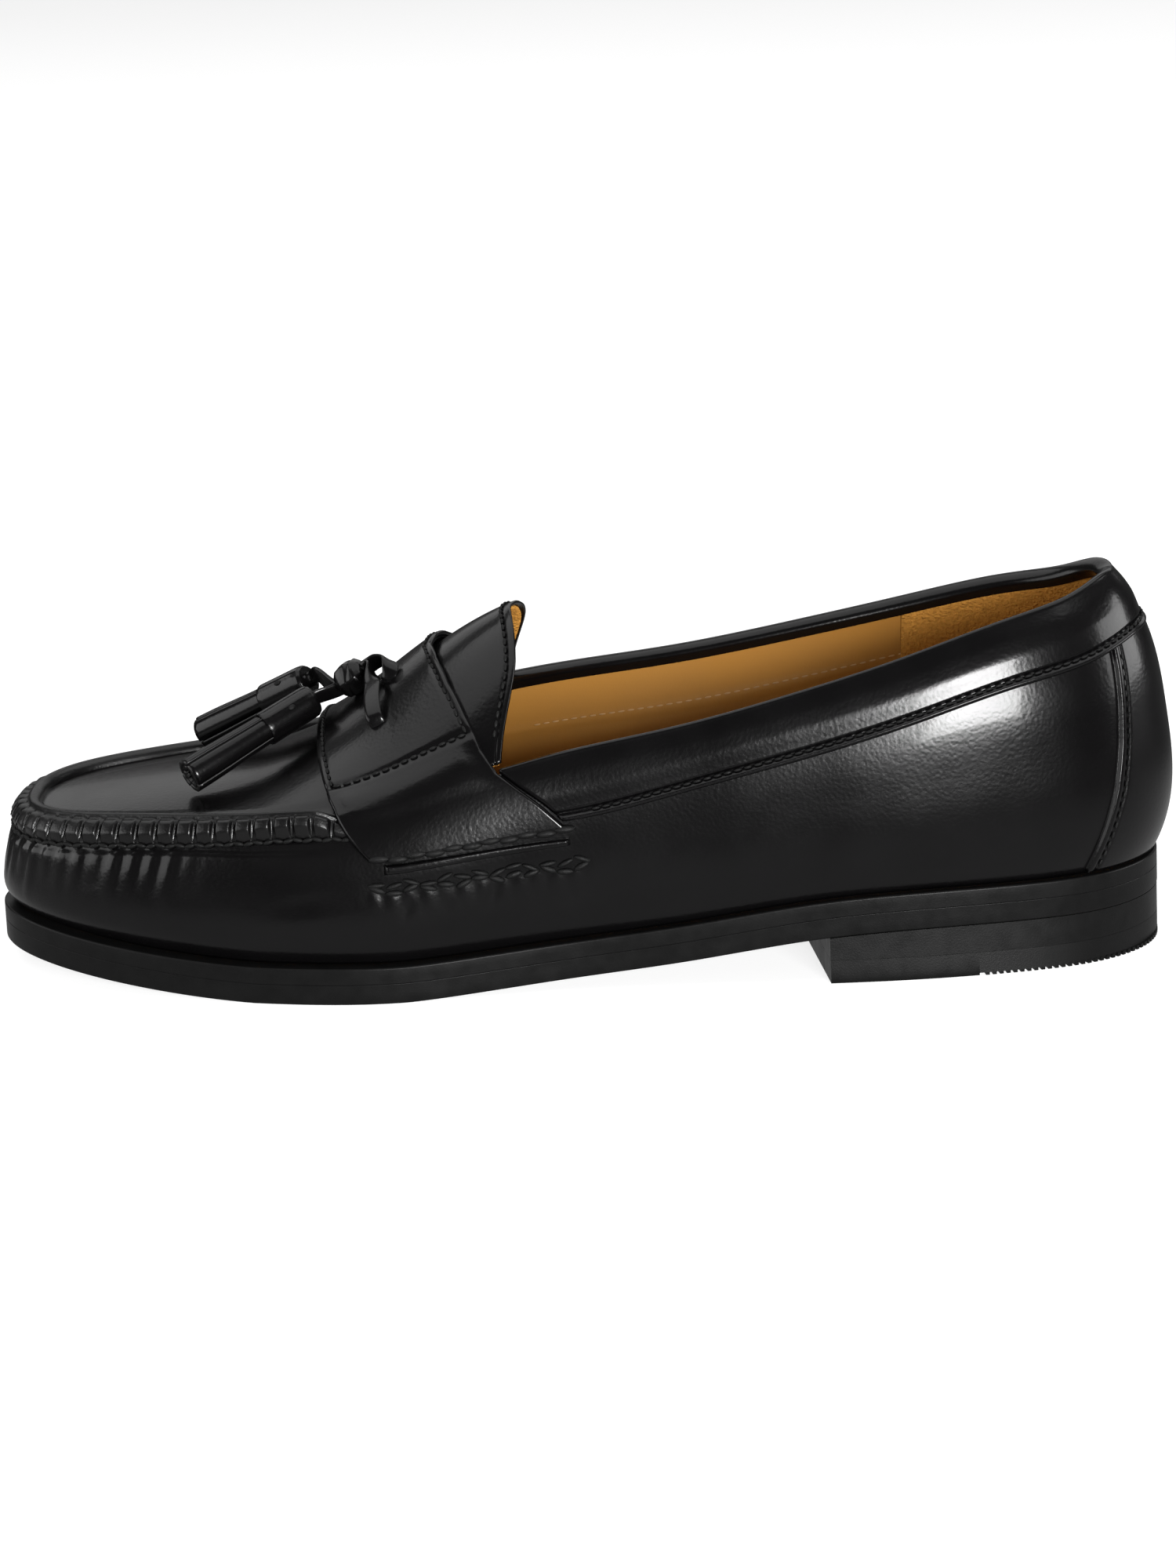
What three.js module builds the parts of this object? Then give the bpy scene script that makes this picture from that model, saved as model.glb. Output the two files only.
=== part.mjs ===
// A left tassel loafer, in millimetres. +X points to the toe, +Y to the outer (lateral) side, +Z up.
// The origin is the middle of the heel's ground face. Every piece is worked out from the sizes and
// the short tables below: a station is a place along the shoe, 0 at the heel back and 15 at the toe.
import * as THREE from 'three';

// Sole and heel
const SOLE_LENGTH = 300;
const BALL_WIDTH = 102;
const HEEL_BACK = -39;
const HEEL_HEIGHT = 13.2;
const TOE_SPRING = 6.8;
const OUTSOLE_THICK = 5.3;
const WELT_THICK = 4.3;
const EDGE_ROUND = 0.7;
const HEEL_LENGTH = 90.5;
const BREAST_SLANT = 10;
const TOP_LIFT_THICK = 6;
const TOP_LIFT_SPLIT = 48;
const HEEL_FLARE = 1;
const INSOLE_THICK = 2.2;
const WELT_REACH = 9;

// Upper
const WALL = 2;
const BACK_HEIGHT = 73;
const SEAM_HEIGHT = 35;
const INSTEP_RISE = 60;
const FEATHER_INSET = 4;
const WALL_LEAN = 10;
const WALL_BULGE = 10;
const RIDGE_HEIGHT = 2.4;
const RIDGE_INSIDE = 2.2;
const CLEAR = 0.3;

// Overlays
const COLLAR_DEPTH = 15;
const COLLAR_THICK = 1.3;
const COLLAR_TURN_IN = 4;
const COUNTER_THICK = 1.2;
const STRAP_THICK = 2;
const TONGUE_THICK = 1.8;
const TONGUE_LAP = 12;
const TONGUE_BOW = 5;

// Lace and tassels
const TASSEL_RADIUS = 4.6;
const TASSEL_STRIPS = 6;
const TASSEL_SLIT = 1.1;
const KNOT_RADIUS = 3.8;
const LACE_WIDTH = 4.2;
const LACE_THICK = 1.1;
const LACE_STEPS = 8;

// Stations shared by several pieces
const TOE_STATION = 15;
const RING = 2 * TOE_STATION;
const PAIRS = 36;
const THROAT_PAIR = 20;
const COLLAR_PAIR = 17;
const COLLAR_TURN = 5.5;
const COLLAR_GAP = 1.6;

const columns = (names, rows) => rows.map((row) => (
  Object.fromEntries(names.map((name, i) => [name, row[i]]))
));

// Sole edge: shares of the sole's length and ball width. Then the underside's height, as shares of
// the heel height and the toe spring, and how far the upper's foot stands in from the edge.
const SOLE_ROWS = columns(['along', 'lateral', 'medial', 'heel', 'spring', 'inset'], [
  [0.000, 0.000, 0.000, 1.00, 0, 0.50],
  [0.015, 0.147, -0.147, 1.00, 0, 0.50],
  [0.060, 0.270, -0.270, 1.00, 0, 0.50],
  [0.130, 0.334, -0.324, 1.00, 0, 0.50],
  [0.213, 0.368, -0.316, 0.98, 0, 0.52],
  [0.303, 0.377, -0.297, 0.84, 0, 0.58],
  [0.403, 0.374, -0.314, 0.51, 0, 0.66],
  [0.497, 0.371, -0.377, 0.25, 0, 0.78],
  [0.587, 0.403, -0.471, 0.07, 0, 0.90],
  [0.670, 0.435, -0.544, -0.02, 0, 0.96],
  [0.753, 0.407, -0.559, 0, -0.03, 1.00],
  [0.830, 0.346, -0.515, 0, 0.15, 1.00],
  [0.900, 0.267, -0.431, 0, 0.46, 1.00],
  [0.955, 0.167, -0.328, 0, 0.75, 1.00],
  [0.990, 0.049, -0.206, 0, 0.94, 1.00],
  [1.0017, -0.078, -0.078, 0, 1.00, 1.00],
]);

// Upper's side wall, lateral then medial: rim height as shares of the back height and of the seam
// height, and how far the rim stands in over the foot, as a share of the lean.
const RIM_ROWS = columns(['collarL', 'seamL', 'leanL', 'collarM', 'seamM', 'leanM'], [
  [1.010, 0, 0.94, 1.010, 0, 0.94],
  [1.013, 0, 0.92, 1.008, 0, 0.92],
  [0.973, 0, 0.80, 0.950, 0, 0.80],
  [0.915, 0, 0.55, 0.899, 0, 0.55],
  [0.816, 0, 0.50, 0.830, 0, 0.22],
  [0.738, 0, 0.37, 0.782, 0, 0.03],
  [0.696, 0, 0.22, 0.764, 0, 0.05],
  [0.666, 0, 0.14, 0.748, 0, 0.31],
  [0.350, 0.517, 0.23, 0.400, 0.583, 0.61],
  [0.060, 0.950, 0.42, 0.100, 0.980, 0.76],
  [0, 1.017, 0.40, 0, 1.051, 0.75],
  [0, 0.974, 0.36, 0, 0.977, 0.70],
  [0, 0.886, 0.27, 0, 0.894, 0.55],
  [0, 0.794, 0.27, 0, 0.811, 0.38],
  [0, 0.749, 0.50, 0, 0.760, 0.54],
  [0, 0.746, 0.68, 0, 0.746, 0.68],
]);

// Wall bulge on each side as shares of the bulge, its squareness, the plug's arch as a share of the
// instep rise, and the share of the collar depth that the panel along the rim has.
const FORM_ROWS = columns(['bulgeL', 'bulgeM', 'square', 'arch', 'panel'], [
  [0.84, 0.84, 3.0, 0.00, 0.90],
  [0.83, 0.83, 3.0, 0.00, 0.95],
  [0.76, 0.76, 3.0, 0.00, 1.00],
  [0.66, 0.66, 2.9, 0.20, 1.00],
  [0.58, 0.56, 2.8, 0.50, 1.00],
  [0.50, 0.46, 2.7, 0.90, 1.00],
  [0.45, 0.42, 2.6, 1.20, 1.00],
  [0.45, 0.42, 2.6, 1.26, 1.05],
  [0.45, 0.45, 2.6, 0.85, 0.80],
  [0.42, 0.45, 2.6, 0.45, 0.42],
  [0.42, 0.45, 2.7, 0.217, 0.33],
  [0.45, 0.48, 3.0, 0.124, 0.33],
  [0.55, 0.55, 3.6, 0.107, 0.33],
  [0.58, 0.58, 4.0, 0.11, 0.33],
  [0.57, 0.57, 4.1, 0.11, 0.33],
  [0.56, 0.56, 4.1, 0.11, 0.33],
]);

// A smooth closed curve through evenly numbered values.
function closedSpline(values) {
  const count = values.length;
  const at = (list, i) => list[((i % count) + count) % count];
  let controls = values.slice();
  for (let pass = 0; pass < 40; pass += 1) {
    controls = controls.map((c, i) => (
      c + values[i] - (at(controls, i - 1) + 4 * c + at(controls, i + 1)) / 6
    ));
  }
  return (u) => {
    const i = Math.floor(u);
    const t = u - i;
    const a = (1 - t) ** 3;
    const b = 3 * t ** 3 - 6 * t ** 2 + 4;
    const c = -3 * t ** 3 + 3 * t ** 2 + 3 * t + 1;
    const d = t ** 3;
    return (a * at(controls, i - 1) + b * at(controls, i)
      + c * at(controls, i + 1) + d * at(controls, i + 2)) / 6;
  };
}

// A column pair becomes one curve round the shoe: lateral side out, medial side back.
const around = (rows, lateral, medial) => closedSpline([
  ...rows.map((row) => row[lateral]),
  ...rows.slice(1, -1).reverse().map((row) => row[medial]),
]);

const alongShare = around(SOLE_ROWS, 'along', 'along');
const sideShare = around(SOLE_ROWS, 'lateral', 'medial');
const heelShare = around(SOLE_ROWS, 'heel', 'heel');
const springShare = around(SOLE_ROWS, 'spring', 'spring');
const insetShare = around(SOLE_ROWS, 'inset', 'inset');
const collarShare = around(RIM_ROWS, 'collarL', 'collarM');
const seamShare = around(RIM_ROWS, 'seamL', 'seamM');
const leanShare = around(RIM_ROWS, 'leanL', 'leanM');
const bulgeShare = around(FORM_ROWS, 'bulgeL', 'bulgeM');
const squareness = around(FORM_ROWS, 'square', 'square');
const archShare = around(FORM_ROWS, 'arch', 'arch');
const panelShare = around(FORM_ROWS, 'panel', 'panel');

const mix = (a, b, t) => a + (b - a) * t;
const mix3 = (p, q, t) => p.map((value, i) => mix(value, q[i], t));
const plus = (p, q, scale = 1) => p.map((value, i) => value + q[i] * scale);
const cross = (p, q) => [
  p[1] * q[2] - p[2] * q[1],
  p[2] * q[0] - p[0] * q[2],
  p[0] * q[1] - p[1] * q[0],
];
const unit = (p) => {
  const size = Math.hypot(...p);
  return p.map((value) => value / size);
};
const smoothstep = (from, to, value) => THREE.MathUtils.smoothstep(value, from, to);

// Sole edge, its outward direction, and the underside and top of the bottom unit.
const edgeX = (u) => HEEL_BACK + SOLE_LENGTH * alongShare(u);
const edgeY = (u) => BALL_WIDTH * sideShare(u);
const STEP = 0.02;

function outward(u) {
  const dx = edgeX(u + STEP) - edgeX(u - STEP);
  const dy = edgeY(u + STEP) - edgeY(u - STEP);
  return unit([-dy, dx, 0]);
}

const insetEdge = (u, inset) => plus([edgeX(u), edgeY(u), 0], outward(u), -inset);
const underside = (u) => Math.max(0, HEEL_HEIGHT * heelShare(u) + TOE_SPRING * springShare(u));
const soleTop = (u) => underside(u) + OUTSOLE_THICK + WELT_THICK;
const medialOf = (station) => RING - station;

// Upper's outer face. The wall goes from the foot (v = 0) to the rim (v = 1).
const rimHeight = (u) => (
  (BACK_HEIGHT - COLLAR_THICK - CLEAR) * collarShare(u) + SEAM_HEIGHT * seamShare(u)
);
const footPoint = (u) => {
  const foot = insetEdge(u, FEATHER_INSET * insetShare(u));
  return [foot[0], foot[1], soleTop(u) + CLEAR];
};

function wallPoint(u, v) {
  const foot = footPoint(u);
  const swell = 1 - Math.abs(2 * v - 1) ** squareness(u);
  const out = WALL_BULGE * bulgeShare(u) * swell - WALL_LEAN * leanShare(u) * v;
  const point = plus(foot, outward(u), out);
  point[2] += rimHeight(u) * v;
  return point;
}

// The plug spans the rims of both sides: w = 1 is the lateral rim, w = -1 the medial rim.
function plugPoint(station, w) {
  const lateral = wallPoint(station, 1);
  const medial = wallPoint(medialOf(station), 1);
  const span = Math.hypot(lateral[0] - medial[0], lateral[1] - medial[1]);
  const rise = INSTEP_RISE * archShare(station) * (span / BALL_WIDTH) ** 2;
  const point = mix3(medial, lateral, (1 + w) / 2);
  point[2] += rise * (1 - w * w);
  return point;
}

// One coordinate across the whole shoe: -1 to 1 on the plug, 1 to 2 down the lateral wall and
// -1 to -2 down the medial wall.
function bodyPoint(station, g) {
  if (g > 1) return wallPoint(station, 2 - g);
  if (g < -1) return wallPoint(medialOf(station), 2 + g);
  return plugPoint(station, g);
}

function bodyNormal(station, g, reach = 0.03) {
  const along = plus(bodyPoint(station + STEP, g), bodyPoint(station - STEP, g), -1);
  const across = plus(bodyPoint(station, g + reach), bodyPoint(station, g - reach), -1);
  return unit(cross(along, across));
}

const bodyOffset = (station, g, distance) => (
  plus(bodyPoint(station, g), bodyNormal(station, g), distance)
);

function wallNormal(u, v) {
  const along = plus(wallPoint(u + STEP, v), wallPoint(u - STEP, v), -1);
  const up = plus(wallPoint(u, v + STEP), wallPoint(u, v - STEP), -1);
  return unit(cross(up, along));
}

const wallOffset = (u, v, distance) => plus(wallPoint(u, v), wallNormal(u, v), distance);

// The station where the shoe's edge has this X.
function stationAt(x) {
  let low = 0;
  let high = TOE_STATION;
  for (let pass = 0; pass < 40; pass += 1) {
    const middle = (low + high) / 2;
    if (edgeX(middle) < x) low = middle;
    else high = middle;
  }
  return low;
}

// Mesh building: a solid is a list of points and a list of faces that point outwards.
const newSolid = () => ({ points: [], faces: [] });

function addPoint(solid, point) {
  solid.points.push(point);
  return solid.points.length - 1;
}

const addRow = (solid, row) => row.map((point) => addPoint(solid, point));
const addGrid = (solid, grid) => grid.map((row) => addRow(solid, row));

function stripBetween(solid, rowA, rowB) {
  for (let i = 0; i + 1 < rowA.length; i += 1) {
    solid.faces.push([rowA[i], rowB[i], rowB[i + 1]]);
    solid.faces.push([rowA[i], rowB[i + 1], rowA[i + 1]]);
  }
}

const closeRow = (row) => [...row, row[0]];
const gridFaces = (solid, grid) => {
  for (let i = 0; i + 1 < grid.length; i += 1) stripBetween(solid, grid[i], grid[i + 1]);
};
const backwards = (grid) => grid.map((row) => row.slice().reverse());

// The border of a grid of indices, once round.
function borderOf(grid) {
  const last = grid.length - 1;
  const side = grid[0].length - 1;
  return [
    ...grid[0].slice(0, side),
    ...grid.slice(0, last).map((row) => row[side]),
    ...grid[last].slice(1).reverse(),
    ...grid.slice(1).reverse().map((row) => row[0]),
  ];
}

function toMesh(name, solid, look) {
  const geometry = new THREE.BufferGeometry();
  const flat = solid.points.flat();
  geometry.setAttribute('position', new THREE.Float32BufferAttribute(flat, 3));
  geometry.setIndex(solid.faces.flat());
  if (signedVolume(solid) < 0) geometry.setIndex(solid.faces.map(([a, b, c]) => [a, c, b]).flat());
  const mesh = new THREE.Mesh(geometry, new THREE.MeshStandardMaterial(look));
  mesh.name = name;
  return mesh;
}

function signedVolume({ points, faces }) {
  let volume = 0;
  faces.forEach(([a, b, c]) => {
    const normal = cross(points[b], points[c]);
    volume += points[a][0] * normal[0] + points[a][1] * normal[1] + points[a][2] * normal[2];
  });
  return volume;
}

// A thin piece between two grids of points with the same rows and columns.
function shellBetween(outer, inner) {
  const solid = newSolid();
  const outerGrid = addGrid(solid, outer);
  const innerGrid = addGrid(solid, inner);
  gridFaces(solid, outerGrid);
  gridFaces(solid, backwards(innerGrid));
  stripBetween(solid, closeRow(borderOf(innerGrid)), closeRow(borderOf(outerGrid)));
  return solid;
}

// A plate of the bottom unit: rows run across the shoe from the lateral to the medial edge, and
// levels go up from the bottom face to the top face, each with its inset and its height.
function plateOf({ from, to, rows, across, levels }) {
  const solid = newSolid();
  const rowsAt = (level) => Array.from({ length: rows + 1 }, (_, i) => {
    const lateralStation = mix(from[0], to[0], i / rows);
    const medialStation = mix(from[1], to[1], i / rows);
    const lateral = insetEdge(lateralStation, level.inset(lateralStation));
    const medial = insetEdge(medialOf(medialStation), level.inset(medialStation));
    return Array.from({ length: across + 1 }, (__, j) => {
      const point = mix3(lateral, medial, j / across);
      point[2] = level.height(mix(lateralStation, medialStation, j / across));
      return point;
    });
  });
  const bottom = addGrid(solid, rowsAt(levels[0]));
  const top = addGrid(solid, rowsAt(levels[levels.length - 1]));
  gridFaces(solid, backwards(bottom));
  gridFaces(solid, top);
  let lower = borderOf(bottom);
  levels.slice(1).forEach((level, i) => {
    const isTop = i === levels.length - 2;
    const upper = isTop ? borderOf(top) : addRow(solid, borderOf(rowsAt(level)));
    stripBetween(solid, closeRow(lower), closeRow(upper));
    lower = upper;
  });
  return solid;
}

const END = 0.18;
const HEEL_END = [END, END];
const TOE_END = [TOE_STATION - END, TOE_STATION - END];
const BREAST = [
  stationAt(HEEL_BACK + HEEL_LENGTH - BREAST_SLANT / 2),
  stationAt(HEEL_BACK + HEEL_LENGTH + BREAST_SLANT / 2),
];
const SPLIT = [stationAt(HEEL_BACK + TOP_LIFT_SPLIT), stationAt(HEEL_BACK + TOP_LIFT_SPLIT)];
const SPLIT_BACK = SPLIT.map(() => stationAt(HEEL_BACK + TOP_LIFT_SPLIT - CLEAR));

const level = (inset, height) => ({
  inset: typeof inset === 'function' ? inset : () => inset,
  height,
});

// Outsole and welt.
const outsole = () => plateOf({
  from: HEEL_END,
  to: TOE_END,
  rows: 44,
  across: 2,
  levels: [
    level(EDGE_ROUND, underside),
    level(0, (k) => underside(k) + EDGE_ROUND),
    level(0, (k) => underside(k) + OUTSOLE_THICK - EDGE_ROUND),
    level(EDGE_ROUND * 0.6, (k) => underside(k) + OUTSOLE_THICK),
  ],
});

function weltRing() {
  const solid = newSolid();
  const base = (u) => underside(u) + OUTSOLE_THICK + CLEAR;
  const section = [
    [EDGE_ROUND * 0.6, base],
    [0, (u) => base(u) + EDGE_ROUND],
    [0, (u) => soleTop(u) - EDGE_ROUND],
    [EDGE_ROUND, soleTop],
    [WELT_REACH, soleTop],
    [WELT_REACH, base],
  ];
  const loops = section.map(([inset, height]) => addRow(solid, ringSamples().map((u) => {
    const point = insetEdge(u, inset);
    return [point[0], point[1], height(u)];
  })));
  loops.forEach((loop, i) => {
    stripBetween(solid, closeRow(loop), closeRow(loops[(i + 1) % loops.length]));
  });
  return solid;
}

// Stations of the paired samples, and the same samples once round the shoe.
const pairStation = (pair) => ((pair + 0.5) * TOE_STATION) / PAIRS;
const ringSamples = () => [
  ...Array.from({ length: PAIRS }, (_, pair) => pairStation(pair)),
  ...Array.from({ length: PAIRS }, (_, i) => medialOf(pairStation(PAIRS - 1 - i))),
];

// Heel: a stack under the sole, and a two-part top lift on the ground.
const heelFlare = (k) => -HEEL_FLARE * smoothstep(0.5, 2.5, k);
const heelStack = () => plateOf({
  from: HEEL_END,
  to: BREAST,
  rows: 16,
  across: 2,
  levels: [
    level((k) => heelFlare(k) * 0.5, () => TOP_LIFT_THICK + CLEAR),
    level(0, (k) => underside(k) - CLEAR),
  ],
});

const topLift = (from, to, rows) => plateOf({
  from,
  to,
  rows,
  across: 2,
  levels: [
    level((k) => heelFlare(k) + EDGE_ROUND / 2, () => 0),
    level(heelFlare, () => EDGE_ROUND),
    level((k) => heelFlare(k) * 0.5, () => TOP_LIFT_THICK),
  ],
});

// The insole lies on the outsole inside the welt, and its wider top covers the welt's inner part.
function insole() {
  const outer = (k) => FEATHER_INSET * insetShare(k) + WALL + CLEAR * 3;
  const inner = WELT_REACH + CLEAR;
  return plateOf({
    from: [END * 3, END * 3],
    to: [TOE_STATION - END * 3, TOE_STATION - END * 3],
    rows: 40,
    across: 2,
    levels: [
      level(inner, (k) => underside(k) + OUTSOLE_THICK + CLEAR),
      level(inner, (k) => soleTop(k) + CLEAR),
      level(outer, (k) => soleTop(k) + CLEAR),
      level(outer, (k) => soleTop(k) + CLEAR + INSOLE_THICK),
    ],
  });
}

// The raised seam stands on the rim in front of the strap and fades out under it.
const ridgeFade = (station) => smoothstep(9.4, 9.75, station);
const ridgeWay = (u) => unit(plus([0, 0, 1], outward(u), 0.3));
const rimCurve = ringSamples()
  .filter((u) => Math.min(u, medialOf(u)) > 9)
  .flatMap((u) => [wallPoint(u, 1), wallPoint(u + TOE_STATION / PAIRS / 2, 1)]);
const seamDistance = (point) => Math.min(
  ...rimCurve.map((rim) => Math.hypot(rim[0] - point[0], rim[1] - point[1], rim[2] - point[2])),
);
const lift = (point, u, height) => plus(point, ridgeWay(u), height);

// Heights up the wall: below the rim panel in shares of the way up to it, then across the panel.
const WALL_SHARES = [0, 0.08, 0.22, 0.4, 0.6, 0.78, 0.92, 1];
const PANEL_SHARES = [0.12, 0.5, 0.82, 1];
const panelFoot = (u) => 1 - (COLLAR_DEPTH * panelShare(u)) / rimHeight(u);
const wallLevels = (u) => [
  ...WALL_SHARES.map((share) => share * panelFoot(u)),
  ...PANEL_SHARES.map((share) => mix(panelFoot(u), 1, share)),
];
const PLUG_SHARES = [0.965, 0.9, 0.72, 0.5, 0.25, 0, -0.25, -0.5, -0.72, -0.9, -0.965];

function upper() {
  const solid = newSolid();
  const samples = ringSamples();
  const side = (u) => Math.min(u, medialOf(u));
  const ridgeOn = (u, v) => {
    const rise = smoothstep(panelFoot(u), mix(panelFoot(u), 1, PANEL_SHARES[0]), v);
    return RIDGE_HEIGHT * ridgeFade(side(u)) * rise * v * v;
  };
  const outerWall = samples.map((u) => wallLevels(u).map((v) => (
    lift(wallPoint(u, v), u, ridgeOn(u, v))
  )));
  const rimInside = (u) => {
    const station = side(u);
    if (station < pairStation(THROAT_PAIR)) return wallOffset(u, 1, -WALL);
    const way = unit(plus(wallNormal(u, 1), bodyNormal(station, u < TOE_STATION ? 0.98 : -0.98)));
    return plus(wallPoint(u, 1), way, -WALL);
  };
  const innerWall = samples.map((u) => wallLevels(u).map((v, i, all) => (
    i === all.length - 1 ? rimInside(u) : wallOffset(u, v, -WALL)
  )));
  const outerRows = addGrid(solid, outerWall);
  const innerRows = addGrid(solid, innerWall);
  const rimOf = (rows) => rows.map((row) => row[row.length - 1]);
  gridFaces(solid, closeRow(outerRows));
  gridFaces(solid, backwards(closeRow(innerRows)));
  const feet = [outerRows, innerRows].map((rows) => closeRow(rows.map((row) => row[0])));
  stripBetween(solid, feet[0], feet[1]);

  const plugRow = (rows, pair, pointAt) => {
    const rim = rimOf(rows);
    const inside = PLUG_SHARES.map((w) => addPoint(solid, pointAt(pairStation(pair), w)));
    return [rim[pair], ...inside, rim[samples.length - 1 - pair]];
  };
  const onTop = (station, w) => {
    const point = plugPoint(station, w);
    const near = 1 - smoothstep(0.2, RIDGE_INSIDE, seamDistance(point));
    return plus(point, [0, 0, 1], RIDGE_HEIGHT * ridgeFade(station) * near);
  };
  const below = (station, w) => bodyOffset(station, w, -WALL);
  const pairs = Array.from({ length: PAIRS - 1 - THROAT_PAIR }, (_, i) => THROAT_PAIR + i);
  const topRows = pairs.map((pair) => plugRow(outerRows, pair, onTop));
  const lowRows = pairs.map((pair) => plugRow(innerRows, pair, below));
  gridFaces(solid, topRows);
  gridFaces(solid, backwards(lowRows));
  const tips = [[outerRows, topRows, 1], [innerRows, lowRows, -1]];
  tips.forEach(([rows, plugRows, turn]) => {
    const lateralTip = rimOf(rows)[PAIRS - 1];
    const medialTip = rimOf(rows)[PAIRS];
    const row = plugRows[plugRows.length - 1];
    const middle = (row.length - 1) / 2;
    const fan = row.slice(1).map((_, i) => [row[i], i < middle ? lateralTip : medialTip, row[i + 1]]);
    fan.push([row[middle], lateralTip, medialTip]);
    fan.forEach(([a, b, c]) => solid.faces.push(turn > 0 ? [a, b, c] : [a, c, b]));
  });
  stripBetween(solid, lowRows[0], topRows[0]);
  const openLateral = Array.from({ length: THROAT_PAIR + 1 }, (_, pair) => pair);
  const openMedial = openLateral.map((pair) => samples.length - 1 - pair).reverse();
  const open = [...openMedial, ...openLateral];
  const rims = [innerRows, outerRows].map((rows) => open.map((i) => rimOf(rows)[i]));
  stripBetween(solid, rims[0], rims[1]);
  return solid;
}

// Saddle strap: its front and rear edges by the coordinate across the shoe.
const STRAP_ROWS = columns(['across', 'front', 'rear'], [
  [0, 0.717, 0.605],
  [0.25, 0.716, 0.600],
  [0.5, 0.714, 0.591],
  [0.72, 0.709, 0.579],
  [0.9, 0.703, 0.567],
  [1, 0.697, 0.556],
  [1.1, 0.688, 0.541],
  [1.21, 0.676, 0.523],
  [1.33, 0.662, 0.506],
]);

const rowAt = (rows, key, value, column) => {
  const found = rows.findIndex((row) => row[key] >= value);
  const next = found < 0 ? rows.length - 1 : Math.max(1, found);
  const [a, b] = [rows[next - 1], rows[next]];
  return mix(a[column], b[column], (value - a[key]) / (b[key] - a[key]));
};

const strapEdge = (g, edge) => (
  HEEL_BACK + SOLE_LENGTH * rowAt(STRAP_ROWS, 'across', Math.abs(g), edge)
);

// Collar band: a channel over the rim from the strap round the back, outside, top and lining side.
function collarBand() {
  const solid = newSolid();
  const samples = ringSamples();
  const end = pairStation(COLLAR_PAIR);
  const run = [
    ...samples.filter((u) => medialOf(u) <= end).map((u) => u - RING),
    ...samples.filter((u) => u <= end),
  ];
  // Towards the strap the cross-sections slant until they lie along its rear edge.
  const slanted = (u, v) => {
    const size = Math.abs(u);
    const limit = stationAt(strapEdge(2 - v, 'rear') - COLLAR_GAP);
    const share = Math.max(0, size - COLLAR_TURN) / (end - COLLAR_TURN);
    return Math.sign(u) * (size + share * (limit - end));
  };
  const pushUp = (at, distance, rise) => {
    const u = slanted(at, 1);
    const up = unit(plus(wallPoint(u, 1), wallPoint(u, 0.97), -1));
    return plus(wallOffset(u, 1, distance), up, rise);
  };
  const leaf = (at, v, distance) => wallOffset(slanted(at, v), v, distance);
  const inside = -WALL - CLEAR;
  const turn = (u) => 1 - COLLAR_TURN_IN / rimHeight(u);
  const loops = run.map((u) => {
    const levels = [0, ...PANEL_SHARES].map((share) => mix(panelFoot(u), 1, share));
    return addRow(solid, [
      ...levels.map((v) => leaf(u, v, CLEAR)).slice(0, -1),
      pushUp(u, CLEAR, CLEAR),
      pushUp(u, inside, CLEAR),
      leaf(u, turn(u), inside),
      leaf(u, turn(u), inside - COLLAR_THICK * 0.6),
      pushUp(u, inside - COLLAR_THICK * 0.5, CLEAR + COLLAR_THICK * 0.5),
      pushUp(u, inside / 2, CLEAR + COLLAR_THICK),
      pushUp(u, CLEAR + COLLAR_THICK * 0.6, CLEAR + COLLAR_THICK * 0.5),
      ...levels.map((v) => leaf(u, v, CLEAR + COLLAR_THICK)).slice(0, -1).reverse(),
    ]);
  });
  loops.slice(1).forEach((loop, i) => stripBetween(solid, closeRow(loops[i]), closeRow(loop)));
  capLoop(solid, loops[0], true);
  capLoop(solid, loops[loops.length - 1], false);
  return solid;
}

// Close the end of a channel section, seen flat.
function capLoop(solid, loop, flip) {
  const points = loop.map((i) => new THREE.Vector3(...solid.points[i]));
  const origin = points[0];
  const axisX = points[1].clone().sub(origin).normalize();
  const normal = new THREE.Vector3();
  points.forEach((point, i) => {
    normal.add(point.clone().sub(origin).cross(points[(i + 1) % points.length].clone().sub(origin)));
  });
  normal.normalize();
  const axisY = normal.clone().cross(axisX);
  const flat = points.map((point) => {
    const from = point.clone().sub(origin);
    return new THREE.Vector2(from.dot(axisX), from.dot(axisY));
  });
  THREE.ShapeUtils.triangulateShape(flat, []).forEach(([a, b, c]) => {
    solid.faces.push(flip ? [loop[a], loop[b], loop[c]] : [loop[a], loop[c], loop[b]]);
  });
}

// Heel counter: an outer panel round the back, wider at its foot.
const COUNTER_ROWS = columns(['up', 'reach'], [
  [0.02, 2.10],
  [0.08, 2.05],
  [0.22, 1.93],
  [0.4, 1.78],
  [0.6, 1.66],
  [0.78, 1.60],
  [0.92, 1.57],
  [0.985, 1.55],
]);

function heelCounter() {
  const across = 16;
  const gridAt = (distance) => COUNTER_ROWS.map(({ up, reach }) => (
    Array.from({ length: across + 1 }, (_, i) => {
      const u = mix(-reach, reach, i / across);
      return wallOffset(u, up * panelFoot(u), distance);
    })
  ));
  return shellBetween(gridAt(CLEAR + COUNTER_THICK), gridAt(CLEAR));
}

function saddleStrap() {
  const across = STRAP_ROWS.map((row) => row.across);
  const places = [...across.slice(1).reverse().map((g) => -g), ...across];
  const along = 8;
  const gridAt = (distance) => places.map((g) => Array.from({ length: along + 1 }, (_, i) => {
    const x = mix(strapEdge(g, 'front'), strapEdge(g, 'rear'), i / along);
    return bodyOffset(stationAt(x), g, distance);
  }));
  return shellBetween(gridAt(CLEAR * 2 + STRAP_THICK), gridAt(CLEAR * 2));
}

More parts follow.
